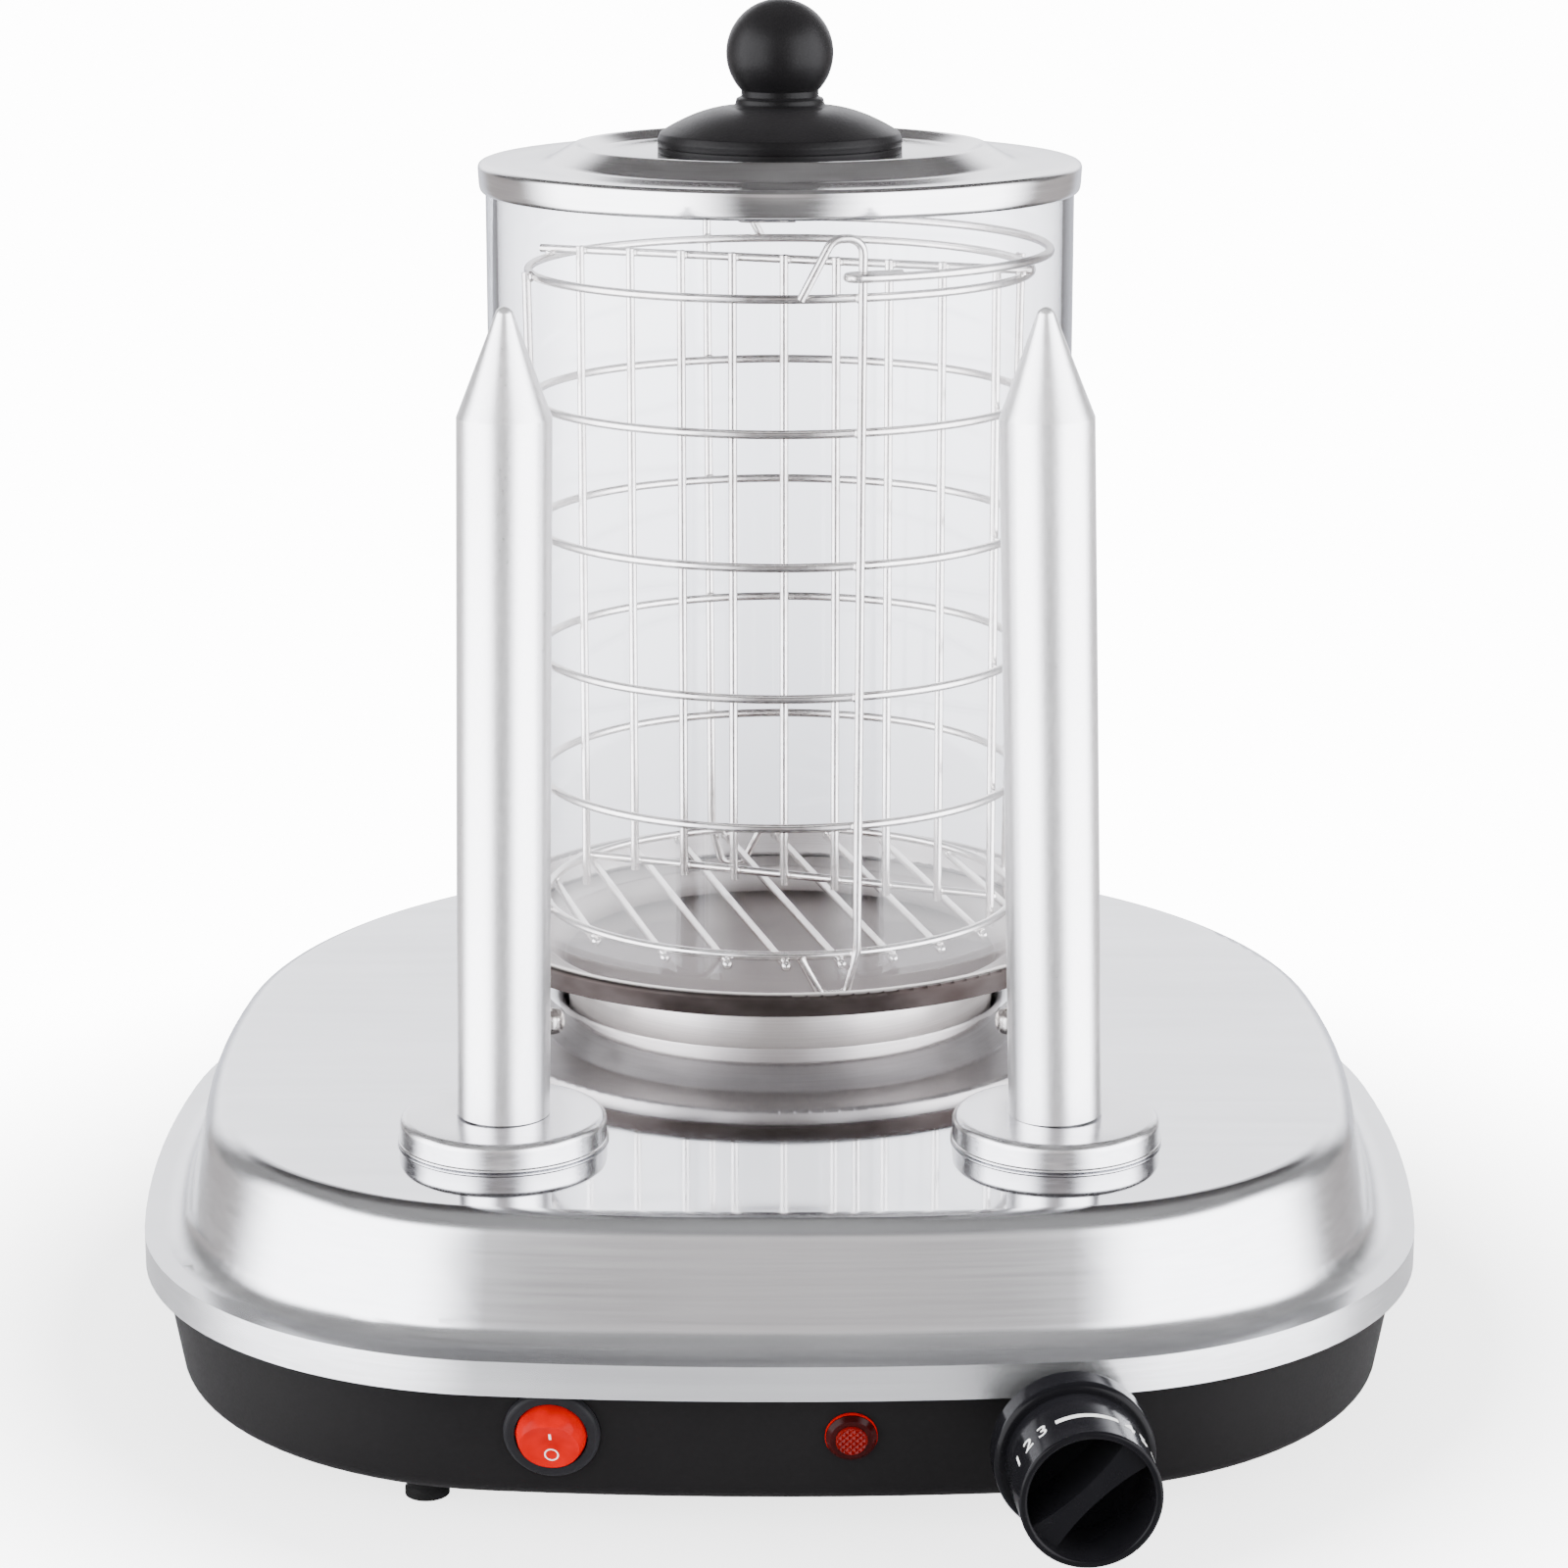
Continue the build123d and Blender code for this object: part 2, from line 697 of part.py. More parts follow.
with BuildPart() as thermostat:
    with BuildSketch(bracket_plane.offset(-bracket_sheet)):
        Rectangle(stat_width, stat_height)
    extrude(amount=-stat_depth)
    fillet(thermostat.edges().filter_by(Axis.Z), radius=2)
    with BuildSketch(bracket_plane.offset(-bracket_sheet)):
        Circle(bushing_r)
    extrude(amount=bushing_length)
    with BuildSketch(bracket_plane.offset(-bracket_sheet - stat_depth / 2)):
        Circle(shaft_r + shaft_fit)
    extrude(amount=stat_depth + bushing_length, mode=Mode.SUBTRACT)
    with BuildSketch(bracket_plane.offset(-bracket_sheet - stat_depth)):
        with Locations((-8, 5), (8, 5)):
            Rectangle(0.8, 6.3)
    extrude(amount=-8)
thermostat.part.label = "thermostat"
export_step(thermostat.part, "parts/thermostat.step")

thermostat_nut_r = 8.0
with BuildPart() as thermostat_nut:
    with BuildSketch(bracket_plane):
        RegularPolygon(thermostat_nut_r, 6)
        Circle(bushing_r, mode=Mode.SUBTRACT)
    extrude(amount=3)
thermostat_nut.part.label = "thermostat_nut"
export_step(thermostat_nut.part, "parts/thermostat_nut.step")

# Knob: flange and tube with a deep pocket, a waisted grip bar across it and a hub behind
knob_front = knob_gap + knob_flange + knob_tube
pocket_z = knob_front - knob_cavity
hub_hole = pocket_z - 3.0
shaft_back = -bracket_back - bracket_sheet - stat_depth / 2 + 0.5
bar_turn = math.radians(knob_bar_turn)
bar_plane = Plane(
    origin=knob_plane.origin,
    x_dir=knob_plane.x_dir * math.cos(bar_turn) + knob_plane.y_dir * math.sin(bar_turn),
    z_dir=knob_plane.z_dir,
)
with BuildPart() as knob:
    with BuildSketch(knob_plane.offset(knob_gap)):
        Circle(knob_flange_r)
    extrude(amount=knob_flange)
    fillet(knob.edges().filter_by(GeomType.CIRCLE), radius=1.6)
    with BuildSketch(knob_plane.offset(knob_gap + 2)):
        Circle(knob_tube_r)
    extrude(amount=knob_front - knob_gap - 2)
    with BuildSketch(knob_plane.offset(knob_front)):
        Circle(knob_tube_r - knob_wall)
    extrude(amount=-knob_cavity, mode=Mode.SUBTRACT)
    outward = Axis(knob_plane.origin, knob_plane.z_dir)
    fillet(knob.edges().filter_by(GeomType.CIRCLE).sort_by(outward)[-2:], radius=0.7)
    with BuildSketch(bar_plane.offset(pocket_z - 0.5)):
        with BuildLine():
            bar_reach = knob_tube_r - knob_wall / 2
            upper = ThreePointArc(
                (-bar_reach, knob_bar_end), (0, knob_bar_waist), (bar_reach, knob_bar_end)
            )
            lower = ThreePointArc(
                (-bar_reach, -knob_bar_end), (0, -knob_bar_waist), (bar_reach, -knob_bar_end)
            )
            Line(upper @ 0, lower @ 0)
            Line(upper @ 1, lower @ 1)
        make_face()
    extrude(amount=knob_cavity - knob_bar_set + 0.5)
    with BuildSketch(knob_plane.offset(knob_gap)):
        Circle(knob_tube_r - knob_wall)
        Circle(knob_hub_r, mode=Mode.SUBTRACT)
    extrude(amount=pocket_z - 2 - knob_gap, mode=Mode.SUBTRACT)
    with BuildSketch(knob_plane.offset(knob_gap)):
        Circle(shaft_r)
    extrude(amount=hub_hole - knob_gap, mode=Mode.SUBTRACT)
knob.part.label = "control_knob"
export_step(knob.part, "parts/control_knob.step")

with BuildPart() as thermostat_shaft:
    with BuildSketch(knob_plane.offset(shaft_back)):
        Circle(shaft_r)
    extrude(amount=hub_hole - shaft_back)
thermostat_shaft.part.label = "thermostat_shaft"
export_step(thermostat_shaft.part, "parts/thermostat_shaft.step")

# Round switch: bezel and body in one, with pin holes for the rocker
rocker_plane = switch_plane.offset(rocker_rise)
rocker_across = Plane(
    origin=rocker_plane.origin, x_dir=rocker_plane.y_dir, z_dir=rocker_plane.x_dir
)
with BuildPart() as switch_housing:
    with BuildSketch(switch_plane):
        Circle(bezel_r)
    extrude(amount=bezel)
    outward = Axis(switch_plane.origin, switch_plane.z_dir)
    fillet(switch_housing.edges().filter_by(GeomType.CIRCLE).sort_by(outward)[-1], radius=1.2)
    with BuildSketch(switch_plane):
        Circle(switch_body_r)
    extrude(amount=-switch_depth)
    with BuildSketch(switch_plane.offset(bezel)):
        Circle(bezel_bore_r)
    extrude(amount=rocker_rise - bezel - rocker_r - 1, mode=Mode.SUBTRACT)
    with BuildSketch(rocker_across.offset(-rocker_pin_reach - 0.1)):
        Circle(rocker_pin_r + shaft_fit)
    extrude(amount=2 * rocker_pin_reach + 0.2, mode=Mode.SUBTRACT)
    with BuildSketch(switch_plane.offset(-switch_depth)):
        with Locations((-4, 0), (4, 0)):
            Rectangle(0.8, 4.8)
    extrude(amount=-7)
switch_housing.part.label = "switch_housing"
export_step(switch_housing.part, "parts/switch_housing.step")

# Rocker: a ball on two pins, cut by a shallow dish that faces down at rest
face_tilt = math.radians(rocker_tilt)
rocker_face_plane = Plane(
    origin=rocker_plane.origin,
    x_dir=rocker_plane.x_dir,
    z_dir=rocker_plane.z_dir * math.cos(face_tilt) - rocker_plane.y_dir * math.sin(face_tilt),
)
with BuildPart() as rocker:
    with Locations(rocker_plane):
        Sphere(rocker_r)
    with Locations(rocker_face_plane.offset(rocker_face + rocker_dish_r)):
        Sphere(rocker_dish_r, mode=Mode.SUBTRACT)
    with BuildSketch(rocker_across.offset(-rocker_pin_reach)):
        Circle(rocker_pin_r)
    extrude(amount=2 * rocker_pin_reach)
rocker.part.label = "rocker"
export_step(rocker.part, "parts/rocker.step")

# Indicator lamp: bezel and body in one, with a domed lens
with BuildPart() as lamp_bezel:
    with BuildSketch(lamp_plane):
        Circle(lamp_r)
    extrude(amount=lamp_flange)
    outward = Axis(lamp_plane.origin, lamp_plane.z_dir)
    chamfer(lamp_bezel.edges().filter_by(GeomType.CIRCLE).sort_by(outward)[-1], length=1.0)
    with BuildSketch(lamp_plane):
        Circle(lamp_body_r)
    extrude(amount=-lamp_depth)
    with BuildSketch(lamp_plane.offset(lamp_flange)):
        Circle(lamp_lens_r)
    extrude(amount=-5, mode=Mode.SUBTRACT)
lamp_bezel.part.label = "lamp_bezel"
export_step(lamp_bezel.part, "parts/lamp_bezel.step")

with BuildPart() as lamp_lens_piece:
    with BuildSketch(lamp_plane.offset(lamp_flange - 5)):
        Circle(lamp_lens_r)
    extrude(amount=5 + lamp_lens)
    outward = Axis(lamp_plane.origin, lamp_plane.z_dir)
    chamfer(lamp_lens_piece.edges().filter_by(GeomType.CIRCLE).sort_by(outward)[-1], length=0.9)
lamp_lens_piece.part.label = "lamp_lens"
export_step(lamp_lens_piece.part, "parts/lamp_lens.step")

# Cord inlet: a flanged bush through the rear wall and its nut inside
with BuildPart() as cable_gland:
    with BuildSketch(gland_plane):
        Circle(gland_flange_r)
    extrude(amount=gland_flange)
    outward = Axis(gland_plane.origin, gland_plane.z_dir)
    fillet(cable_gland.edges().filter_by(GeomType.CIRCLE).sort_by(outward)[-1], radius=1.2)
    with BuildSketch(gland_plane):
        Circle(gland_r)
    extrude(amount=-gland_depth)
    with BuildSketch(gland_plane.offset(gland_flange)):
        Circle(gland_bore_r)
    extrude(amount=-gland_flange - gland_depth, mode=Mode.SUBTRACT)
cable_gland.part.label = "cable_gland"
export_step(cable_gland.part, "parts/cable_gland.step")

gland_nut_gap = 0.6
with BuildPart() as gland_nut:
    with BuildSketch(gland_plane.offset(-pan_sheet - gland_nut_gap)):
        RegularPolygon(gland_flange_r, 6)
        Circle(gland_r, mode=Mode.SUBTRACT)
    extrude(amount=-4)
gland_nut.part.label = "gland_nut"
export_step(gland_nut.part, "parts/gland_nut.step")

# Terminal block on the pan's floor near the inlet
block_length = 38.0
block_width = 18.0
block_height = 15.0
block_ahead = 24.0
block_x = -30.0
with BuildPart() as terminal_block:
    with BuildSketch(Plane((block_x, bowl_y + rear_stud_back - block_ahead, pan_z + pan_sheet))):
        Rectangle(block_length, block_width)
    extrude(amount=block_height)
    fillet(terminal_block.edges().filter_by(Axis.Z), radius=1.5)
    top = terminal_block.faces().sort_by(Axis.Z)[-1]
    with Locations(top):
        with GridLocations(block_length / 3, block_width / 2, 3, 2):
            Hole(2.2, depth=8)
terminal_block.part.label = "terminal_block"
export_step(terminal_block.part, "parts/terminal_block.step")

# Glass cylinder, open at both ends, standing on the bowl's ledge
with BuildPart() as glass_cylinder:
    with BuildSketch(Plane((0, bowl_y, ledge_z))):
        Circle(glass_r)
        Circle(glass_r - glass_wall, mode=Mode.SUBTRACT)
    extrude(amount=glass_length)
    fillet(glass_cylinder.edges().filter_by(GeomType.CIRCLE), radius=0.7)
glass_cylinder.part.label = "glass_cylinder"
export_step(glass_cylinder.part, "parts/glass_cylinder.step")

# Lid: a flat rim on the glass, a raised crown and a shallow dish
lid_edge_gap = 0.1
with BuildPart() as lid_shell:
    with BuildSketch(turning_plane()) as lid_section:
        with BuildLine():
            half = lid_sheet / 2
            FilletPolyline(
                (lid_r - lid_sheet - lid_edge_gap, lid_z - half),
                (lid_foot_r, lid_z - half),
                (lid_crown_r, crown_z - half),
                (lid_dish_r, dish_z - half),
                (screw_r + screw_fit, dish_z - half),
                radius=1.5,
            )
        trace(line_width=lid_sheet)
    revolve(axis=bowl_axis)
lid_shell.part.label = "lid_shell"
export_step(lid_shell.part, "parts/lid_shell.step")

# Lid band: the ring round the rim, its top edge level with the lid
with BuildPart() as lid_ring:
    with BuildSketch(Plane((0, bowl_y, lid_z - lid_band))):
        Circle(lid_r)
        Circle(lid_r - lid_sheet, mode=Mode.SUBTRACT)
    extrude(amount=lid_band)
    fillet(lid_ring.edges().filter_by(GeomType.CIRCLE).group_by(Axis.Z)[-1], radius=lid_sheet * 0.4)
lid_ring.part.label = "lid_ring"
export_step(lid_ring.part, "parts/lid_ring.step")

# Lid knob: grooved base, dome, collar, neck and ball, hollow below round a boss
ball_z = dish_z + grip_ball_rise
dome_z = dish_z + grip_side + grip_dome
neck_z = dome_z + grip_collar
groove = 0.35
grip_hollow_r = grip_base_r - grip_wall
dome_turn = 0.53
dome_lift = 0.72
with BuildPart() as lid_knob:
    with BuildSketch(turning_plane()):
        with BuildLine():
            ball_low = ball_z - math.sqrt(grip_ball_r ** 2 - grip_neck_r ** 2)
            Polyline(
                (0, ball_z + grip_ball_r),
                (0, dish_z + insert_length + 2),
                (insert_r, dish_z + insert_length + 2),
                (insert_r, dish_z),
                (grip_boss_r, dish_z),
                (grip_boss_r, dish_z + grip_hollow),
                (grip_hollow_r, dish_z + grip_hollow),
                (grip_hollow_r, dish_z),
                (grip_base_r, dish_z),
                (grip_base_r, dish_z + 1.3),
                (grip_base_r - groove, dish_z + 1.5),
                (grip_base_r - groove, dish_z + 1.8),
                (grip_base_r, dish_z + 2.0),
                (grip_base_r, dish_z + 3.2),
                (grip_base_r - groove, dish_z + 3.4),
                (grip_base_r - groove, dish_z + 3.7),
                (grip_base_r, dish_z + 3.9),
                (grip_base_r, dish_z + grip_side),
            )
            ThreePointArc(
                (grip_base_r, dish_z + grip_side),
                (
                    grip_collar_r + dome_turn * (grip_base_r - grip_collar_r),
                    dish_z + grip_side + dome_lift * grip_dome,
                ),
                (grip_collar_r, dome_z),
            )
            Polyline(
                (grip_collar_r, dome_z),
                (grip_collar_r, neck_z),
                (grip_neck_r, neck_z),
                (grip_neck_r, ball_low),
            )
            ThreePointArc(
                (grip_neck_r, ball_low), (grip_ball_r, ball_z), (0, ball_z + grip_ball_r)
            )
        make_face()
    revolve(axis=bowl_axis)
lid_knob.part.label = "lid_knob"
export_step(lid_knob.part, "parts/lid_knob.step")

with BuildPart() as lid_insert:
    with Locations((0, bowl_y, dish_z)):
        Cylinder(insert_r, insert_length, align=(Align.CENTER, Align.CENTER, Align.MIN))
        Cylinder(screw_r, 4 * insert_length, mode=Mode.SUBTRACT)
lid_insert.part.label = "lid_insert"
export_step(lid_insert.part, "parts/lid_insert.step")

with BuildPart() as lid_screw:
    with Locations((0, bowl_y, dish_z - lid_sheet)):
        Cylinder(screw_head_r, screw_head, align=(Align.CENTER, Align.CENTER, Align.MAX))
        shank = lid_sheet + insert_length - 1
        Cylinder(screw_r, shank, align=(Align.CENTER, Align.CENTER, Align.MIN))
    fillet(lid_screw.edges().group_by(Axis.Z)[0], radius=1.2)
lid_screw.part.label = "lid_screw"
export_step(lid_screw.part, "parts/lid_screw.step")

# Basket of welded wire: hoops that widen upwards, with the upright wires outside them
strut_set = 2 * wire_r - weld
ear_z = hoop_top_z + ear_rise


def hoop_radius(z):
    share = (z - hoop_low_z) / (hoop_top_z - hoop_low_z)
    return basket_bottom_r + (basket_top_r - basket_bottom_r) * share


# Point on an upright wire's line, a distance round from it, at a height
def beside(angle, across, z):
    reach = hoop_radius(z) + strut_set
    turn = math.radians(angle) + math.asin(across / reach)
    return (reach * math.cos(turn), bowl_y + reach * math.sin(turn), z)


for count in range(hoop_count):
    z = hoop_low_z + count * hoop_pitch
    with BuildPart() as hoop:
        with Locations((0, bowl_y, z)):
            Torus(hoop_radius(z), wire_r)
    hoop.part.label = f"basket_hoop_{count + 1}"
    export_step(hoop.part, f"parts/basket_hoop_{count + 1}.step")


# A foot bent from the wire's own end, the same under every upright
def foot_points(angle):
    return [
        beside(angle, -foot_tip, hoop_low_z),
        beside(angle, -foot_heel, foot_wire_z),
        beside(angle, -foot_toe, foot_wire_z),
        beside(angle, 0, hoop_low_z + wire_r),
    ]


for side, angle in (("front", front_ear_angle), ("rear", rear_ear_angle)):
    with BuildPart() as ear:
        with BuildLine() as ear_line:
            FilletPolyline(
                *foot_points(angle),
                beside(angle, 0, ear_z),
                beside(angle, -ear_top, ear_z),
                beside(angle, -ear_reach, hoop_top_z),
                radius=(2.5, 2.5, 6, 4, 4),
            )
        with BuildSketch(Plane(origin=ear_line.line @ 0, z_dir=ear_line.line % 0)):
            Circle(wire_r)
        sweep()
    ear.part.label = f"basket_ear_{side}"
    export_step(ear.part, f"parts/basket_ear_{side}.step")

for side, angle in zip(("right", "left"), side_strut_angles):
    with BuildPart() as strut:
        with BuildLine() as strut_line:
            FilletPolyline(
                *foot_points(angle),
                beside(angle, 0, hoop_top_z + wire_r),
                radius=(2.5, 2.5, 6),
            )
        with BuildSketch(Plane(origin=strut_line.line @ 0, z_dir=strut_line.line % 0)):
            Circle(wire_r)
        sweep()
    strut.part.label = f"basket_strut_{side}"
    export_step(strut.part, f"parts/basket_strut_{side}.step")


# Straight wire between two points, added to the piece being made
def straight_wire(start, finish):
    run = Vector(*finish) - Vector(*start)
    with BuildPart() as wire:
        with BuildSketch(Plane(origin=start, z_dir=run)):
            Circle(wire_r)
        extrude(amount=run.length)
    return wire.part


floor_wire_z = hoop_low_z - strut_set
floor_turn = math.radians(basket_floor_angle)
with BuildPart() as basket_floor:
    for count in range(basket_floor_wires):
        offset_by = (count - (basket_floor_wires - 1) / 2) * basket_floor_pitch
        reach = math.sqrt(basket_bottom_r ** 2 - offset_by ** 2) + basket_floor_stub
        middle_x = offset_by * math.sin(floor_turn)
        middle_y = bowl_y - offset_by * math.cos(floor_turn)
        run_x = reach * math.cos(floor_turn)
        run_y = reach * math.sin(floor_turn)
        add(
            straight_wire(
                (middle_x - run_x, middle_y - run_y, floor_wire_z),
                (middle_x + run_x, middle_y + run_y, floor_wire_z),
            )
        )
basket_floor.part.label = "basket_floor"
export_step(basket_floor.part, "parts/basket_floor.step")

# Divider: a bar on the top hoop, a low bar, and upright wires on the near side of both
divider_turn = math.radians(divider_angle)
divider_top_z = hoop_top_z + strut_set
divider_low_z = hoop_low_z + divider_low_rise


def on_divider(along, near, z):
    x = along * math.cos(divider_turn) + near * math.sin(divider_turn)
    y = bowl_y + along * math.sin(divider_turn) - near * math.cos(divider_turn)
    return (x, y, z)


with BuildPart() as basket_divider:
    add(straight_wire(
        on_divider(-divider_half, 0, divider_top_z), on_divider(divider_half, 0, divider_top_z)
    ))
    outer_wire = (divider_wires - 1) / 2 * divider_pitch
    add(straight_wire(
        on_divider(divider_shift - outer_wire, 0, divider_low_z),
        on_divider(divider_shift + outer_wire, 0, divider_low_z),
    ))
    for count in range(divider_wires):
        along = divider_shift - outer_wire + count * divider_pitch
        end_wire = count in (0, divider_wires - 1)
        low = hoop_low_z - divider_tail if end_wire else divider_low_z - 2 * wire_r
        add(straight_wire(
            on_divider(along, strut_set, low),
            on_divider(along, strut_set, divider_top_z + wire_r),
        ))
basket_divider.part.label = "basket_divider"
export_step(basket_divider.part, "parts/basket_divider.step")

# Bail: half a hoop that lies round the right side, hooked through both ears
bail_z = hoop_top_z + bail_rise
hook_r = hoop_radius(bail_z) + strut_set
hook_half = wire_r + bail_gap + bail_r
bail_out_r = hook_r + hook_half
bail_in_r = hook_r - hook_half
front_hook = math.radians(front_ear_angle) + bail_front_side / hook_r
rear_hook = math.radians(rear_ear_angle) + bail_rear_side / hook_r


def round_axis(radius, turn):
    return Vector(radius * math.cos(turn), bowl_y + radius * math.sin(turn), bail_z)


with BuildPart() as bail:
    with BuildLine() as bail_line:
        tail_turn = bail_tail / bail_in_r
        front_centre = round_axis(hook_r, front_hook)
        rear_centre = round_axis(hook_r, rear_hook)
        front_round = Vector(math.sin(front_hook), -math.cos(front_hook)) * hook_half
        rear_round = Vector(-math.sin(rear_hook), math.cos(rear_hook)) * hook_half
        ThreePointArc(
            round_axis(bail_in_r, front_hook + tail_turn),
            round_axis(bail_in_r, front_hook + tail_turn / 2),
            round_axis(bail_in_r, front_hook),
        )
        ThreePointArc(
            round_axis(bail_in_r, front_hook),
            front_centre + front_round,
            round_axis(bail_out_r, front_hook),
        )
        ThreePointArc(
            round_axis(bail_out_r, front_hook),
            round_axis(bail_out_r, (front_hook + rear_hook) / 2),
            round_axis(bail_out_r, rear_hook),
        )
        ThreePointArc(
            round_axis(bail_out_r, rear_hook),
            rear_centre + rear_round,
            round_axis(bail_in_r, rear_hook),
        )
        ThreePointArc(
            round_axis(bail_in_r, rear_hook),
            round_axis(bail_in_r, rear_hook - tail_turn / 2),
            round_axis(bail_in_r, rear_hook - tail_turn),
        )
    with BuildSketch(Plane(origin=bail_line.line @ 0, z_dir=bail_line.line % 0)):
        Circle(bail_r)
    sweep()
bail.part.label = "bail"
export_step(bail.part, "parts/bail.step")
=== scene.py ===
import math

import bpy
from mathutils import Matrix, Vector


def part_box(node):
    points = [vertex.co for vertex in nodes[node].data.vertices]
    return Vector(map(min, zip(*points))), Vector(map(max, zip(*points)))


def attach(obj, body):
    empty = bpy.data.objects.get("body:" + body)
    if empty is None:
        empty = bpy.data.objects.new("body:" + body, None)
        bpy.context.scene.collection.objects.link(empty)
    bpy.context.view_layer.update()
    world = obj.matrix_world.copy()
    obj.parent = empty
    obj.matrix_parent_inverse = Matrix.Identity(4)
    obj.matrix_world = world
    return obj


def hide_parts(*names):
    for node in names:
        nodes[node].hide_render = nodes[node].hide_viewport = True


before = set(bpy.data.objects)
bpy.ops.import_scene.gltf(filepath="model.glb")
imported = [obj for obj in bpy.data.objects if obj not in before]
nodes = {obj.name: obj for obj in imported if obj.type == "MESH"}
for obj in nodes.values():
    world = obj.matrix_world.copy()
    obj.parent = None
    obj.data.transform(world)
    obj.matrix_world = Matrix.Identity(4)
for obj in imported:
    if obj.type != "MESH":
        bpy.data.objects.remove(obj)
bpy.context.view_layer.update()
print("stage: frame loaded")

mm = 0.001  # the sizes of the pieces are in mm, Blender works in m
seam = 0.012  # points closer than this are joined when a piece is closed
pole = 0.004  # radius of a ring that is then drawn into one point on the axis
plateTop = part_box("left_disc")[0].z
axisY = (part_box("glass_cylinder")[0].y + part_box("glass_cylinder")[1].y) / 2
middle = axisY / mm  # bowl, glass, lid and basket share this upright axis

# how the photograph was taken: lengths in m from the axis and the plate, the lens and its sensor in mm
camera = {"x": 0.00111, "away": 1.07762, "above": 0.3318, "pitch": 12.156, "lens": 91.72, "sensor": 36, "shift": -0.1}
bpy.ops.object.camera_add(
    location=(camera["x"], axisY - camera["away"], plateTop + camera["above"]),
    rotation=(math.radians(90 - camera["pitch"]), 0, 0),
)
photoCamera = bpy.context.active_object
photoCamera.data.sensor_width = camera["sensor"]
photoCamera.data.lens = camera["lens"]
photoCamera.data.shift_y = camera["shift"]
photoCamera.data.dof.use_dof = False
bpy.context.scene.camera = photoCamera


def deselectAll():
    if bpy.context.mode != "OBJECT":
        bpy.ops.object.mode_set(mode="OBJECT")
    bpy.ops.object.select_all(action="DESELECT")


def pickOnly(*pieces):
    deselectAll()
    for piece in pieces:
        piece.select_set(True)
    bpy.context.view_layer.objects.active = pieces[0]


# edit mode with the whole piece selected
def editAll(piece):
    pickOnly(piece)
    bpy.ops.object.mode_set(mode="EDIT")
    bpy.ops.mesh.select_mode(type="EDGE")
    bpy.ops.mesh.select_all(action="SELECT")


# leaves edit mode with the seams joined and the faces outward
def closeSeams():
    bpy.ops.mesh.select_all(action="SELECT")
    bpy.ops.mesh.remove_doubles(threshold=seam * mm)
    bpy.ops.mesh.normals_make_consistent(inside=False)
    bpy.ops.object.mode_set(mode="OBJECT")


def smoothBy(piece, degrees):
    pickOnly(piece)
    bpy.ops.object.shade_smooth_by_angle(angle=math.radians(degrees))


# ring after ring from a circle, each ring extruded to the next radius and height of the section
def turnPiece(name, section, sides=96, crease=32):
    deselectAll()
    radius, height = section[0]
    bpy.ops.mesh.primitive_circle_add(vertices=sides, radius=radius * mm, location=(0, 0, height * mm))
    piece = bpy.context.active_object
    piece.name = name
    bpy.ops.object.transform_apply(location=True, rotation=True, scale=True)
    editAll(piece)
    for nextRadius, nextHeight in section[1:]:
        bpy.ops.mesh.extrude_edges_move()
        bpy.ops.transform.translate(value=(0, 0, (nextHeight - height) * mm))
        factor = nextRadius / radius
        bpy.ops.transform.resize(value=(factor, factor, 1), center_override=(0, 0, 0))
        radius, height = nextRadius, nextHeight
    closeSeams()
    smoothBy(piece, crease)
    return piece


def applyAll(piece):
    pickOnly(piece)
    for modifier in list(piece.modifiers):
        bpy.ops.object.modifier_apply(modifier=modifier.name)


# cuts a piece with another one and removes the cutter
def cutWith(piece, cutter, operation="DIFFERENCE"):
    cut = piece.modifiers.new("cut", "BOOLEAN")
    cut.operation = operation
    cut.solver = "EXACT"
    cut.object = cutter
    applyAll(piece)
    bpy.data.objects.remove(cutter, do_unlink=True)


def softEdges(piece, width, segments=2, degrees=35):
    edge = piece.modifiers.new("edge", "BEVEL")
    edge.width = width * mm
    edge.segments = segments
    edge.limit_method = "ANGLE"
    edge.angle_limit = math.radians(degrees)
    applyAll(piece)


# stands a piece at a place in mm, along the directions of its own X, Y and Z
def placeOn(piece, place, right=(1, 0, 0), up=(0, 1, 0), out=(0, 0, 1)):
    turn = Matrix((right, up, out)).transposed().to_4x4()
    piece.matrix_world = Matrix.Translation(Vector(place) * mm) @ turn @ piece.matrix_world
    pickOnly(piece)
    bpy.ops.object.transform_apply(location=True, rotation=True, scale=True)


def copyOf(piece):
    made = piece.copy()
    made.data = piece.data.copy()
    bpy.context.collection.objects.link(made)
    return made


def joinAs(name, pieces):
    pickOnly(*pieces)
    if len(pieces) > 1:
        bpy.ops.object.join()
    joined = bpy.context.active_object
    joined.name = name
    joined.data.name = name
    return joined


def dress(piece, body, material):
    piece.data.materials.clear()
    piece.data.materials.append(material)
    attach(piece, body)


# place and directions of something set in the front wall, which leans back below and follows the bow
def wallFrame(x, height, out):
    values = {"bowRadius": 673.70, "bowCentre": 521.53, "lean": 10.0}
    turn = math.asin(x / values["bowRadius"])
    lean = math.radians(values["lean"])
    right = Vector((math.cos(turn), math.sin(turn), 0))
    outward = Vector((math.sin(turn) * math.cos(lean), -math.cos(turn) * math.cos(lean), -math.sin(lean)))
    place = Vector((x, values["bowCentre"] - values["bowRadius"] * math.cos(turn), height)) + outward * out
    return place, right, outward.cross(right), outward


# direction at an angle round an upright axis
def flatDirection(degrees):
    turn = math.radians(degrees)
    return Vector((math.cos(turn), math.sin(turn), 0))


# sets each input of a node to a number, a colour or the output of another node
def feed(tree, node, inputs):
    for key, value in dict(inputs).items():
        if isinstance(value, bpy.types.NodeSocket):
            tree.links.new(value, node.inputs[key])
        else:
            node.inputs[key].default_value = value


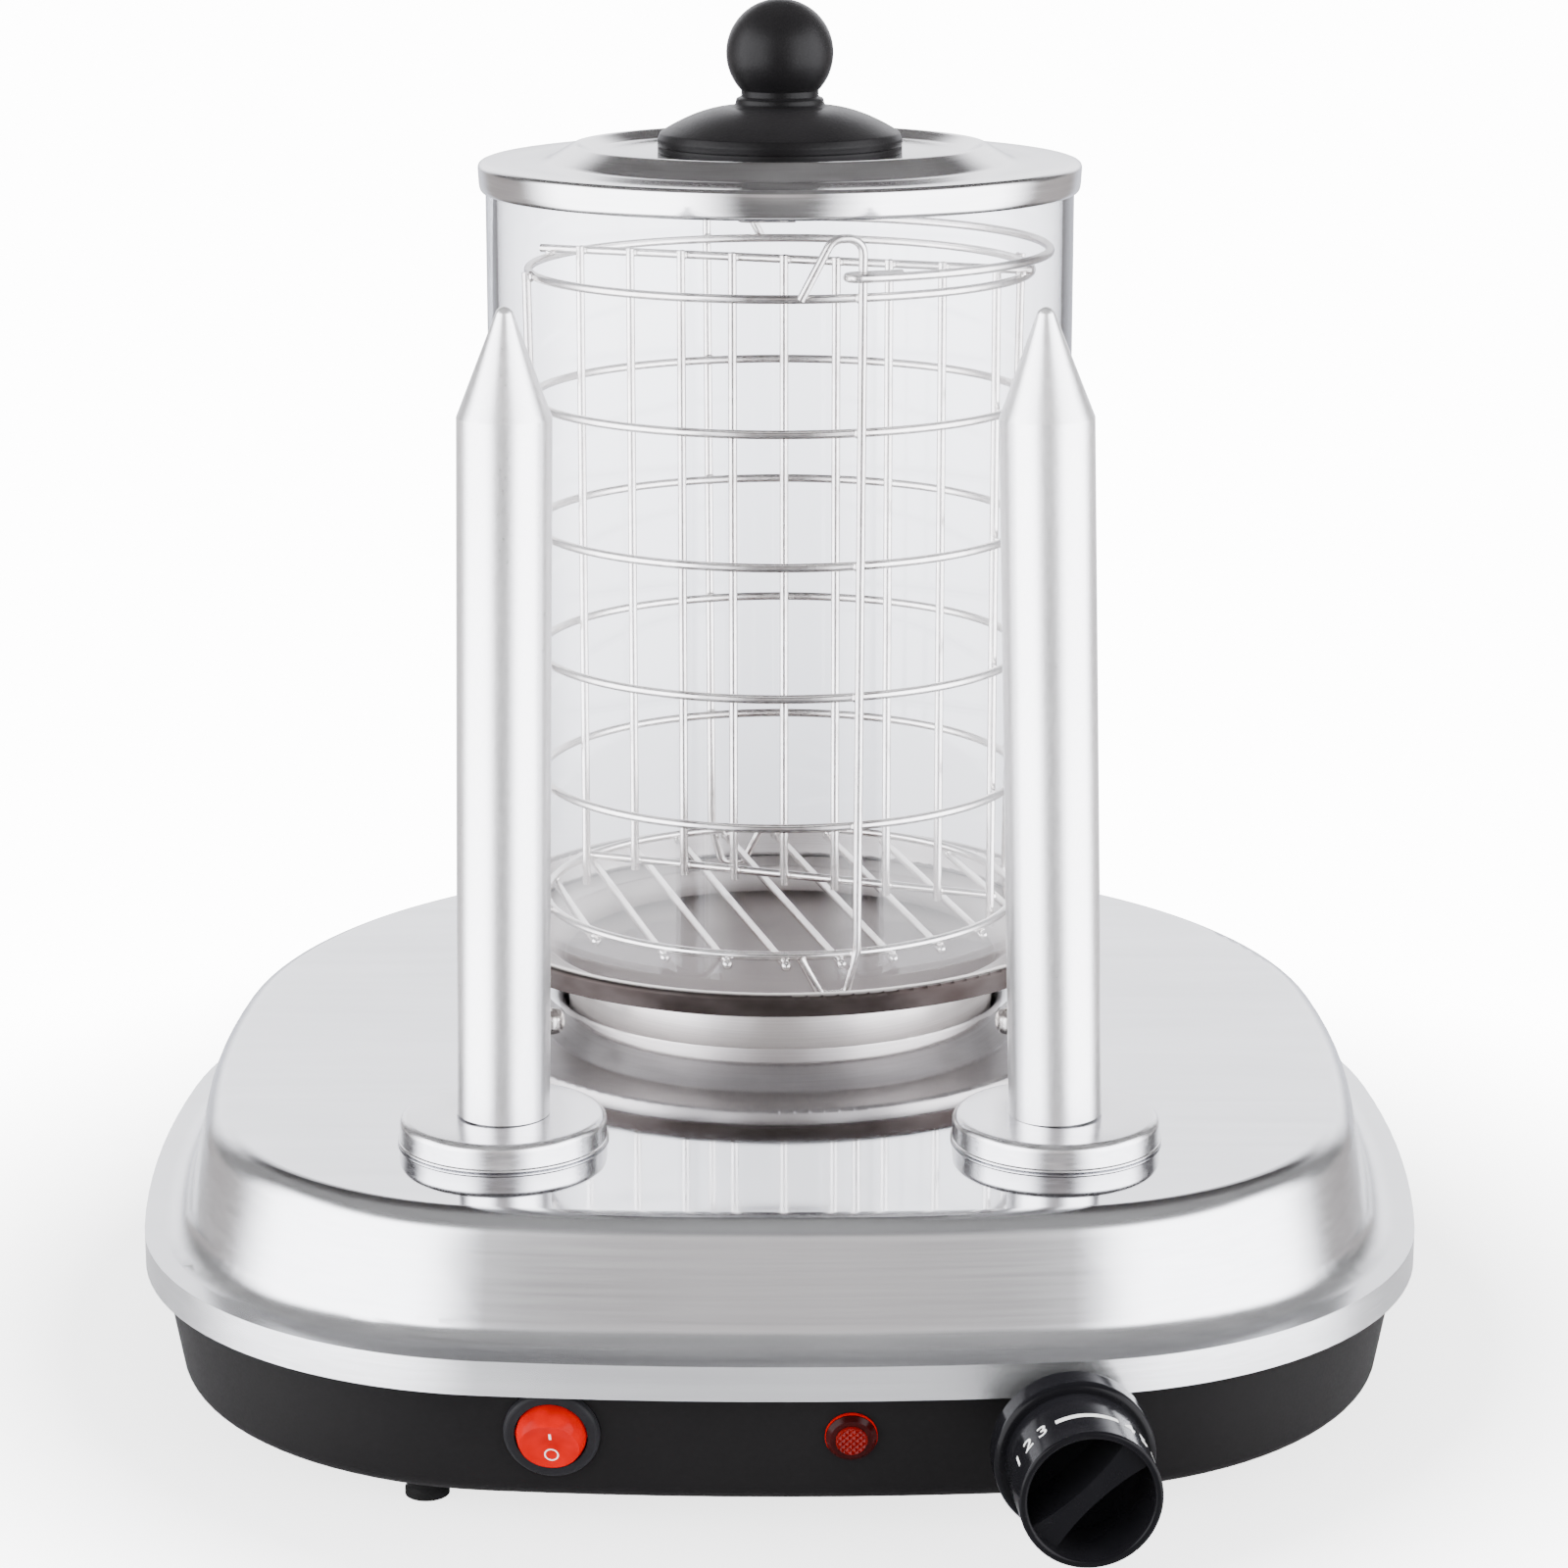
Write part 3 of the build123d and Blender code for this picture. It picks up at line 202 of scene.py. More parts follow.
def addNode(tree, kind, inputs=(), **settings):
    made = tree.nodes.new(kind)
    for key, value in settings.items():
        setattr(made, key, value)
    feed(tree, made, inputs)
    return made


# one step of arithmetic on numbers and outputs
def calc(tree, operation, *values):
    return addNode(tree, "ShaderNodeMath", enumerate(values), operation=operation).outputs[0]


def vectorCalc(tree, operation, inputs, output="Vector"):
    return addNode(tree, "ShaderNodeVectorMath", inputs, operation=operation).outputs[output]


def times(tree, first, second):
    return calc(tree, "MULTIPLY", first, second)


# the first plus the second times a factor
def total(tree, first, second, factor):
    return calc(tree, "MULTIPLY_ADD", second, factor, first)


# mixes two colours, or two numbers, by a share from 0 to 1
def blend(tree, share, first, second, kind="RGBA"):
    firstAt, secondAt, resultAt = (6, 7, 2) if kind == "RGBA" else (2, 3, 0)  # sockets of the mix node
    inputs = {0: share, firstAt: first, secondAt: second}
    return addNode(tree, "ShaderNodeMix", inputs, data_type=kind).outputs[resultAt]


def spread(tree, value, low, high, fromLow=0.3, fromHigh=0.7, **settings):
    inputs = {"Value": value, "From Min": fromLow, "From Max": fromHigh, "To Min": low, "To Max": high}
    return addNode(tree, "ShaderNodeMapRange", inputs, **settings).outputs["Result"]


def tint(tree, value, dark, light, fromLow=0.3, fromHigh=0.7):
    made = addNode(tree, "ShaderNodeValToRGB", {"Fac": value})
    for stop, position, colour in zip(made.color_ramp.elements, (fromLow, fromHigh), (dark, light)):
        stop.position = position
        stop.color = (*colour, 1)
    return made.outputs["Color"]


def noise(tree, point, scale, detail, rough):
    inputs = {"Scale": scale, "Detail": detail, "Roughness": rough, "Vector": point}
    return addNode(tree, "ShaderNodeTexNoise", inputs).outputs["Fac"]


def bump(tree, shader, value, strength, distance):
    made = addNode(tree, "ShaderNodeBump", {"Strength": strength, "Distance": distance, "Height": value})
    feed(tree, shader, {"Normal": made.outputs["Normal"]})


def objectPoint(tree, scale=(1, 1, 1), move=(0, 0, 0)):
    place = addNode(tree, "ShaderNodeTexCoord").outputs["Object"]
    return addNode(tree, "ShaderNodeMapping", {"Location": move, "Scale": scale, "Vector": place}).outputs["Vector"]


# how far a point is from the upright axis through the origin
def awayFrom(tree, point):
    flat = vectorCalc(tree, "MULTIPLY", {0: point, 1: (1, 1, 0)})
    return vectorCalc(tree, "LENGTH", {0: flat}, "Value")


# a point told by its distance from the bowl's axis, its height and its angle, so a grain runs round
def turnedPoint(tree, ring, height, around):
    point = objectPoint(tree, move=(0, -axisY, 0))
    x, y, z = addNode(tree, "ShaderNodeSeparateXYZ", {0: point}).outputs
    parts = ((awayFrom(tree, point), ring), (z, height), (calc(tree, "ARCTAN2", y, x), around))
    scaled = [times(tree, source, factor) for source, factor in parts]
    return addNode(tree, "ShaderNodeCombineXYZ", enumerate(scaled)).outputs[0]


def newMaterial(name, colour, metallic, roughness):
    material = bpy.data.materials.new(name)
    material.use_nodes = True
    tree = material.node_tree
    shader = tree.nodes["Principled BSDF"]
    feed(tree, shader, {"Base Color": (*colour, 1), "Metallic": metallic, "Roughness": roughness})
    return material, tree, shader


# bare metal: a fine grain and a broad haze move its colour and its roughness
def grainMetal(name, look, pointMaker=objectPoint):
    material, tree, shader = newMaterial(name, look["light"], 1.0, look["rough"])
    grain = noise(tree, pointMaker(tree), look["grainScale"], detail=3.0, rough=0.6)
    haze = noise(tree, objectPoint(tree), look["hazeScale"], detail=2.0, rough=0.5)
    mixed = total(tree, grain, haze, factor=0.6)
    rough, drift = look["rough"], look["roughDrift"]
    feed(tree, shader, {
        "Base Color": tint(tree, mixed, look["dark"], look["light"], fromLow=0.45, fromHigh=1.15),
        "Roughness": spread(tree, mixed, rough - drift, rough + drift, fromLow=0.5, fromHigh=1.1),
    })
    bump(tree, shader, grain, look["bump"], distance=0.00005)
    return material


# moulded or painted: broad smears move the colour, a fine grain the roughness
def plainPlastic(name, look):
    material, tree, shader = newMaterial(name, look["light"], 0.0, look["rough"])
    grain = noise(tree, objectPoint(tree), look["grainScale"], detail=4.0, rough=0.6)
    smear = noise(tree, objectPoint(tree), look["smearScale"], detail=3.0, rough=0.5)
    mixed = total(tree, grain, smear, factor=1.0)
    rough, drift = look["rough"], look["roughDrift"]
    feed(tree, shader, {
        "Base Color": tint(tree, smear, look["dark"], look["light"]),
        "Roughness": spread(tree, mixed, rough - drift, rough + drift, fromLow=0.7, fromHigh=1.3),
        "Specular IOR Level": look.get("gloss", 0.5),
        "IOR": look.get("ior", 1.46),
    })
    bump(tree, shader, grain, look["bump"], distance=0.00008)
    return material


# bright rolled flat on top, satin brushed along the front on the slope and the lip
def plateMaterial():
    look = {"light": (0.80, 0.81, 0.83), "dark": (0.70, 0.71, 0.73), "flat": 0.05, "slope": 0.19, "lip": 0.25,
            "drift": 0.02, "top": (74.8, 75.6), "lipEnd": (45.0, 51.0), "brush": (12, 160, 900), "haze": (24, 24, 24),
            "bump": 0.10}
    material, tree, shader = newMaterial("plateSteel", look["light"], 1.0, look["slope"])
    height = addNode(tree, "ShaderNodeSeparateXYZ", {0: objectPoint(tree)}).outputs[2]
    brush = noise(tree, objectPoint(tree, look["brush"]), scale=1.0, detail=3.0, rough=0.6)
    haze = noise(tree, objectPoint(tree, look["haze"]), scale=1.0, detail=2.0, rough=0.5)
    mixed = total(tree, brush, haze, factor=0.5)
    satin = spread(tree, height, look["lip"], look["slope"], *[edge * mm for edge in look["lipEnd"]])
    onTop = spread(tree, height, 0.0, 1.0, *[edge * mm for edge in look["top"]])
    drift = spread(tree, mixed, -look["drift"], look["drift"], fromLow=0.45, fromHigh=1.05)
    feed(tree, shader, {
        "Base Color": tint(tree, mixed, look["dark"], look["light"], fromLow=0.45, fromHigh=1.05),
        "Roughness": total(tree, blend(tree, onTop, satin, look["flat"], "FLOAT"), drift, factor=1.0),
    })
    bump(tree, shader, brush, look["bump"], distance=0.00004)
    return material


# the bowl is brushed round its axis, and darker on the lip and on the upward faces of the well and the middle
def bowlMaterial():
    look = {"light": (0.80, 0.765, 0.75), "dark": (0.64, 0.60, 0.58), "rough": 0.41, "roughDrift": 0.04,
            "grainScale": 1.0, "hazeScale": 40.0, "bump": 0.10, "cloudScale": 30.0, "cover": 0.94,
            "well": (0.15, 0.118, 0.108), "wellEdge": (59.5, 63.5), "middle": (0.27, 0.232, 0.222),
            "middleEdge": (30, 58), "lip": (0.020, 0.014, 0.013), "lipEdge": (84.6, 85.4), "upright": (0.05, 0.35)}
    material = grainMetal("bowlSteel", look, lambda tree: turnedPoint(tree, ring=3500, height=3500, around=1.2))
    tree = material.node_tree
    shader = tree.nodes["Principled BSDF"]
    steel = shader.inputs["Base Color"].links[0].from_socket
    distance = awayFrom(tree, objectPoint(tree, move=(0, -axisY, 0)))
    normal = addNode(tree, "ShaderNodeTexCoord").outputs["Normal"]
    facing = addNode(tree, "ShaderNodeSeparateXYZ", {0: normal}).outputs[2]
    upwards = spread(tree, facing, 0.0, 1.0, *look["upright"])
    cloud = noise(tree, objectPoint(tree, scale=(1, 1, 2)), look["cloudScale"], detail=3.0, rough=0.6)
    cover = spread(tree, cloud, look["cover"], 1.0)
    for zone, inside, outside in (("well", 1.0, 0.0), ("middle", 1.0, 0.0), ("lip", 0.0, 1.0)):
        share = spread(tree, distance, inside, outside, *[edge * mm for edge in look[zone + "Edge"]])
        if zone != "lip":
            share = times(tree, share, upwards)
        steel = blend(tree, times(tree, share, cover), steel, (*look[zone], 1))
    feed(tree, shader, {"Base Color": steel})
    return material


def lidMaterial():
    look = {"light": (0.86, 0.86, 0.87), "dark": (0.74, 0.74, 0.75), "rough": 0.13, "roughDrift": 0.04,
            "grainScale": 1.0, "hazeScale": 40.0, "bump": 0.06}
    return grainMetal("lidSteel", look, lambda tree: turnedPoint(tree, ring=4000, height=900, around=2.5))


def spikeMaterial():
    look = {"light": (0.90, 0.90, 0.915), "dark": (0.82, 0.82, 0.835), "rough": 0.30, "roughDrift": 0.03,
            "grainScale": 1100.0, "hazeScale": 14.0, "bump": 0.10}
    return grainMetal("spikeAlloy", look, lambda tree: objectPoint(tree, scale=(1, 1, 0.45)))


def discMaterial():
    look = {"light": (0.84, 0.84, 0.86), "dark": (0.66, 0.66, 0.68), "rough": 0.22, "roughDrift": 0.05,
            "grainScale": 700.0, "hazeScale": 80.0, "bump": 0.10}
    return grainMetal("discSteel", look, lambda tree: objectPoint(tree, scale=(0.2, 1, 1.6)))


def wireMaterial():
    look = {"light": (0.94, 0.92, 0.905), "dark": (0.70, 0.65, 0.62), "rough": 0.22, "roughDrift": 0.03,
            "grainScale": 500.0, "hazeScale": 30.0, "bump": 0.06}
    return grainMetal("basketWire", look)


def screwMaterial():
    look = {"light": (0.80, 0.78, 0.75), "dark": (0.5, 0.48, 0.46), "rough": 0.24, "roughDrift": 0.06,
            "grainScale": 900.0, "hazeScale": 200.0, "bump": 0.08}
    return grainMetal("screwSteel", look)


def elementMaterial():
    look = {"light": (0.36, 0.33, 0.30), "dark": (0.18, 0.15, 0.14), "rough": 0.45, "roughDrift": 0.1,
            "grainScale": 600.0, "hazeScale": 60.0, "bump": 0.15}
    return grainMetal("elementSteel", look)


def brassMaterial():
    look = {"light": (0.78, 0.62, 0.32), "dark": (0.55, 0.42, 0.2), "rough": 0.3, "roughDrift": 0.08,
            "grainScale": 900.0, "hazeScale": 100.0, "bump": 0.1}
    return grainMetal("insertBrass", look)


def castMaterial():
    look = {"light": (0.62, 0.62, 0.62), "dark": (0.42, 0.42, 0.42), "rough": 0.5, "roughDrift": 0.1,
            "grainScale": 1200.0, "hazeScale": 90.0, "bump": 0.3}
    return grainMetal("castAlloy", look)


def panMaterial():
    look = {"light": (0.0045, 0.0042, 0.0044), "dark": (0.003, 0.0028, 0.003), "rough": 0.46, "roughDrift": 0.05,
            "grainScale": 1400.0, "smearScale": 20.0, "bump": 0.2, "gloss": 0.3, "ior": 1.25}
    return plainPlastic("panPaint", look)


def rubberMaterial():
    look = {"light": (0.006, 0.006, 0.006), "dark": (0.004, 0.004, 0.004), "rough": 0.62, "roughDrift": 0.08,
            "grainScale": 2000.0, "smearScale": 120.0, "bump": 0.3, "gloss": 0.15}
    return plainPlastic("footRubber", look)


def switchMaterial():
    look = {"light": (0.010, 0.010, 0.0115), "dark": (0.007, 0.007, 0.008), "rough": 0.45, "roughDrift": 0.06,
            "grainScale": 2400.0, "smearScale": 150.0, "bump": 0.2, "gloss": 0.12}
    return plainPlastic("switchPlastic", look)


def knobMaterial():
    look = {"light": (0.0025, 0.0025, 0.003), "dark": (0.0016, 0.0016, 0.002), "rough": 0.15, "roughDrift": 0.03,
            "grainScale": 1500.0, "smearScale": 90.0, "bump": 0.04, "gloss": 0.5, "ior": 1.17,
            "x": 66.6, "height": 28.3, "bar": (34.05, 34.15), "pastBar": (34.25, 34.35), "rim": (36.45, 36.65),
            # the last two are the colour and the roughness of the painted highlight on the bar's top and the rim
            "highlightGrey": (0.017, 0.016, 0.0175), "highlightRough": 0.36}
    material = plainPlastic("knobPlastic", look)
    tree = material.node_tree
    shader = tree.nodes["Principled BSDF"]
    place, _, _, outward = wallFrame(look["x"], look["height"], out=0)
    level = Vector((outward.x, outward.y, 0)).normalized()
    point = objectPoint(tree, move=(-place.x, -place.y, 0))
    reach = vectorCalc(tree, "DOT_PRODUCT", {0: point, 1: level}, "Value")
    # painted highlight: the grip bar's top and the rim get a lighter satin grey where light catches them
    fromBar, toBar, onRim = [
        spread(tree, reach, inside, outside, *[edge * mm for edge in look[zone]])
        for zone, inside, outside in (("bar", 0.0, 1.0), ("pastBar", 1.0, 0.0), ("rim", 0.0, 1.0))
    ]
    highlighted = total(tree, times(tree, fromBar, toBar), onRim, factor=1.0)
    colour, rough = [shader.inputs[name].links[0].from_socket for name in ("Base Color", "Roughness")]
    feed(tree, shader, {
        "Base Color": blend(tree, highlighted, colour, (*look["highlightGrey"], 1)),
        "Roughness": blend(tree, highlighted, rough, look["highlightRough"], "FLOAT"),
    })
    return material


def gripMaterial():
    look = {"light": (0.0035, 0.0033, 0.0036), "dark": (0.0022, 0.0021, 0.0023), "rough": 0.36, "roughDrift": 0.05,
            "grainScale": 1300.0, "smearScale": 60.0, "bump": 0.7, "gloss": 0.5, "ior": 1.2}
    return plainPlastic("gripPlastic", look)


def redMaterial():
    look = {"light": (0.42, 0.0004, 0.0002), "dark": (0.30, 0.0003, 0.0001), "rough": 0.14, "roughDrift": 0.03,
            "grainScale": 900.0, "smearScale": 200.0, "bump": 0.03, "gloss": 0.045,
            "glow": 0.04, "depth": 0.002, "reach": (1.0, 0.15, 0.1)}
    material = plainPlastic("redPlastic", look)
    tree = material.node_tree
    feed(tree, tree.nodes["Principled BSDF"], {
        "Subsurface Weight": look["glow"],
        "Subsurface Scale": look["depth"],
        "Subsurface Radius": look["reach"],
    })
    return material


def lensMaterial():
    look = {"light": (0.13, 0.004, 0.003), "dark": (0.07, 0.002, 0.002), "rough": 0.12, "roughDrift": 0.03,
            "grainScale": 900.0, "smearScale": 300.0, "bump": 0.03, "gloss": 0.1}
    return plainPlastic("lampRed", look)


def smokedMaterial():
    look = {"light": (0.020, 0.0022, 0.0022), "dark": (0.012, 0.0015, 0.0015), "rough": 0.13, "roughDrift": 0.03,
            "grainScale": 900.0, "smearScale": 300.0, "bump": 0.03, "gloss": 0.08}
    return plainPlastic("smokedRed", look)


# clear body with a clear coat, so it mirrors without bending what stands behind it
def glassMaterial():
    look = {"clear": (0.985, 0.99, 1.0), "light": (0.995, 0.997, 1.0), "dark": (0.975, 0.982, 0.995), "ior": 1.1,
            "coat": 0.8, "coatIor": 1.5, "coatRough": 0.02, "smeared": 0.02, "smearScale": 35.0,
            "rippleScale": 14.0, "ripple": 0.05}
    material, tree, shader = newMaterial("clearGlass", look["clear"], 0.0, 0.0)
    smear = noise(tree, objectPoint(tree, scale=(1, 1, 0.3)), look["smearScale"], detail=4.0, rough=0.5)
    ripple = noise(tree, objectPoint(tree, scale=(1, 1, 0.2)), look["rippleScale"], detail=2.0, rough=0.4)
    feed(tree, shader, {
        "Transmission Weight": 1.0,
        "IOR": look["ior"],
        "Coat Weight": look["coat"],
        "Coat IOR": look["coatIor"],
        "Coat Roughness": look["coatRough"],
        "Roughness": spread(tree, smear, 0.0, look["smeared"], fromLow=0.5, fromHigh=0.8),
        "Base Color": tint(tree, smear, look["dark"], look["light"]),
    })
    bump(tree, shader, ripple, look["ripple"], distance=0.0004)
    return material


def markMaterial():
    look = {"light": (0.86, 0.86, 0.84), "dark": (0.74, 0.74, 0.73), "rough": 0.45, "roughDrift": 0.06,
            "grainScale": 2500.0, "smearScale": 400.0, "bump": 0.1}
    return plainPlastic("markPaint", look)


def give(material, *names):
    for name in names:
        slots = nodes[name].data.materials
        slots.clear()
        slots.append(material)


lidSteel = lidMaterial()
discSteel = discMaterial()
basketWire = wireMaterial()
screwSteel = screwMaterial()
gripPlastic = gripMaterial()
redPlastic = redMaterial()
lampRed = lensMaterial()
markPaint = markMaterial()
give(plateMaterial(), "top_plate")
give(bowlMaterial(), "water_bowl", "bowl_collar")
give(lidSteel, "lid_shell", "lid_ring")
give(spikeMaterial(), "left_spike", "right_spike")
give(discSteel, "left_disc", "right_disc")
give(basketWire, *[name for name in nodes if name.startswith("basket_")], "bail")
give(screwSteel, "foot_screws", "foot_nuts", "tie_studs", "tie_screws", "collar_screws", "collar_spacers",
     "collar_nuts", "spike_nuts", "thermostat_bracket", "thermostat_nut", "thermostat_shaft", "lid_screw")
give(elementMaterial(), "heating_element", "left_spike_heater", "right_spike_heater")
give(brassMaterial(), "lid_insert")
give(castMaterial(), "heater_plate")
give(panMaterial(), "base_pan")
give(rubberMaterial(), "feet")
give(smokedMaterial(), "lamp_bezel")
give(switchMaterial(), "switch_housing", "thermal_cutout", "thermostat", "terminal_block", "cable_gland", "gland_nut")
give(knobMaterial(), "control_knob")
give(gripPlastic, "lid_knob")
give(redPlastic, "rocker")
give(lampRed, "lamp_lens")
give(glassMaterial(), "glass_cylinder")


# runs the shading over the seams between the CAD faces, so long reflections bend evenly
def evenShading(name):
    values = {"seam": 0.002, "crease": 28}
    piece = nodes[name]
    piece.modifiers.new("joinSeams", "WELD").merge_threshold = values["seam"] * mm
    piece.modifiers.new("keepCreases", "EDGE_SPLIT").split_angle = math.radians(values["crease"])
    even = piece.modifiers.new("evenNormals", "WEIGHTED_NORMAL")
    even.mode = "FACE_AREA_WITH_ANGLE"
    even.keep_sharp = True


for name in ("top_plate", "base_pan", "water_bowl", "bowl_collar"):
    evenShading(name)
print("stage: materials")


def buildLid():
    values = {"top": 304.2, "sides": 192}
    # the outside of the pressed sheet from the middle to the hem, then the inside back again
    section = (
        (2.2, 2.1), (20, 2.1), (49.6, 2.1), (50.3, 2.16), (51.0, 2.45), (53.6, 4.08), (54.2, 4.38), (54.8, 4.5),
        (55.5, 4.42), (56.1, 4.14), (61.9, 0.72), (62.6, 0.36), (63.4, 0.1), (64.4, 0.0), (72, 0.0), (79.1, 0.0),
        (79.9, -0.08), (80.5, -0.3), (80.95, -0.68), (81.15, -1.15), (81.2, -1.8), (81.0, -5.4), (80.85, -6.6),
        (80.62, -7.3), (80.3, -7.7), (79.95, -7.8), (79.66, -7.6), (79.52, -7.2), (79.6, -6.75), (79.9, -6.4),
        (80.3, -2.0), (80.2, -1.4), (79.9, -0.95), (79.4, -0.74), (78.9, -0.7), (64.2, -0.7), (63.0, -0.56),
        (62.0, -0.14), (55.6, 3.66), (54.8, 3.82), (54.2, 3.62), (51.2, 1.72), (50.2, 1.44), (49.4, 1.4),
        (2.2, 1.4), (2.2, 2.1),
    )
    lid = turnPiece("lidShell", [(radius, values["top"] + height) for radius, height in section], values["sides"])
    placeOn(lid, (0, middle, 0))
    dress(lid, "lid", lidSteel)
    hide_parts("lid_shell", "lid_ring")


def buildLidKnob():
    values = {"seat": 306.3, "sides": 96, "domeFrom": 31.98, "domeTo": 13.7, "domeLow": 5.46, "domeRise": 6.64,
              "domeCurve": 1.72, "domeSteps": 14, "ball": 14.4, "ballHeight": 26.4, "ballFrom": -44.0,
              "ballSteps": 24}
    domeFrom, domeTo, domeLow = values["domeFrom"], values["domeTo"], values["domeLow"]
    # from the underside of the hollow, out and up over base, dome, collar, neck and ball
    section = [
        (3.2, 14.0), (3.2, 0.15), (3.35, 0.0), (6.4, 0.0), (6.5, 0.1), (6.5, 3.4), (29.7, 3.4), (29.7, 0.1),
        (29.8, 0.0), (32.7, 0.0), (32.88, 0.08), (32.9, 0.3), (32.9, 1.55), (32.86, 1.63), (32.74, 1.68),
        (32.70, 1.74), (32.70, 1.82), (32.74, 1.88), (32.86, 1.93), (32.9, 2.01), (32.9, 3.45), (32.87, 3.66),
        (32.78, 3.86), (32.36, 5.02), (32.22, 5.26), (domeFrom, domeLow),
    ]
    for step in range(1, values["domeSteps"] + 1):
        along = step / values["domeSteps"]
        rise = values["domeRise"] * (1 - (1 - along) ** values["domeCurve"])
        section.append((domeFrom + (domeTo - domeFrom) * along, domeLow + rise))
    section += [
        (13.1, 12.16), (12.65, 12.32), (12.3, 12.56), (12.05, 12.86), (11.9, 13.22), (11.84, 13.6), (11.8, 13.95),
        (11.68, 14.25), (11.4, 14.5), (10.95, 14.66), (10.55, 14.86), (10.4, 15.2), (10.4, 16.3),
    ]
    for step in range(values["ballSteps"] + 1):
        turn = math.radians(values["ballFrom"] + (90 - values["ballFrom"]) * step / values["ballSteps"])
        radius = max(values["ball"] * math.cos(turn), pole)
        section.append((radius, values["ballHeight"] + values["ball"] * math.sin(turn)))
    section += [(pole, 14.0), (3.2, 14.0)]
    grip = turnPiece("lidGrip", [(radius, values["seat"] + height) for radius, height in section], values["sides"])
    placeOn(grip, (0, middle, 0))
    dress(grip, "lid", gripPlastic)
    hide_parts("lid_knob")


# one screw with a domed head and a cross recess, head up, with the seat of the head at height 0
def crossScrew(name, look):
    values = {"tip": 1.5, "shaft": 2.0, "tipLength": 0.6, "underHead": 0.02, "narrowing": 0.55, "crease": 32,
              "dome": ((1.0, 0.28), (0.985, 0.42), (0.93, 0.60), (0.84, 0.75), (0.70, 0.87), (0.50, 0.95),
                       (0.25, 0.99))}
    head, rise, shank, deep = look["head"], look["rise"], look["shank"], look["crossDepth"]
    section = [(pole, -shank), (values["tip"], -shank), (values["shaft"], -shank + values["tipLength"]),
               (values["shaft"], -values["underHead"]), (head, 0.0)]
    section += [(head * share, rise * height) for share, height in values["dome"]]
    section.append((pole, rise))
    screw = turnPiece(name, section, look["sides"])
    arms = []
    for turn in (0, 90):
        deselectAll()
        bpy.ops.mesh.primitive_cube_add(size=1, location=(0, 0, rise * mm), rotation=(0, 0, math.radians(turn)))
        arm = bpy.context.active_object
        arm.scale = (look["cross"] * mm, look["crossWidth"] * mm, deep * 2 * mm)
        bpy.ops.object.transform_apply(location=True, rotation=True, scale=True)
        # the arms narrow towards the bottom of the recess
        bpy.ops.object.mode_set(mode="EDIT")
        bpy.ops.mesh.select_mode(type="FACE")
        bpy.ops.mesh.select_all(action="DESELECT")
        bpy.ops.object.mode_set(mode="OBJECT")
        for face in arm.data.polygons:
            face.select = face.normal.z < -0.5
        bpy.ops.object.mode_set(mode="EDIT")
        narrowing = values["narrowing"]
        bpy.ops.transform.resize(value=(narrowing, narrowing, 1), center_override=(0, 0, (rise - deep) * mm))
        bpy.ops.object.mode_set(mode="OBJECT")
        arms.append(arm)
    for arm in arms:
        cutWith(screw, arm)
    smoothBy(screw, values["crease"])
    return screw


def buildScrews():
    above = {"head": 3.7, "rise": 3.4, "sides": 40, "cross": 4.2, "crossWidth": 0.85, "crossDepth": 1.5}
    below = {"head": 3.7, "rise": 2.6, "sides": 32, "cross": 4.0, "crossWidth": 0.9, "crossDepth": 1.4}
    sets = {
        "collarScrews": {"node": "collar_screws", "look": {**above, "shank": 18.7}, "up": 1, "height": 75.7,
                         "spots": [(flatDirection(angle) * 75.6)[:2] for angle in (35, 145, 215, 325)]},
        "footScrews": {"node": "foot_screws", "look": {**below, "shank": 8.8}, "up": -1, "height": 5.0,
                       "spots": [(85, -178), (-85, -178), (78, 92), (-78, 92)]},
        "tieScrews": {"node": "tie_screws", "look": {**below, "shank": 12.0}, "up": -1, "height": 8.4,
                      "spots": [(108, -118), (-108, -118), (0, 100)]},
    }
    firstTurn, nextTurn = 20, 37
    for name, values in sets.items():
        screw = crossScrew(name, values["look"])
        made = []
        for count, (x, y) in enumerate(values["spots"]):
            piece = copyOf(screw)
            right = flatDirection(firstTurn + nextTurn * count)  # each is driven home at its own angle
            out = Vector((0, 0, values["up"]))
            placeOn(piece, (x, middle + y, values["height"]), right, out.cross(right), out)
            made.append(piece)
        bpy.data.objects.remove(screw, do_unlink=True)
        joined = joinAs(name, made)
        dress(joined, "base", screwSteel)
        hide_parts(values["node"])


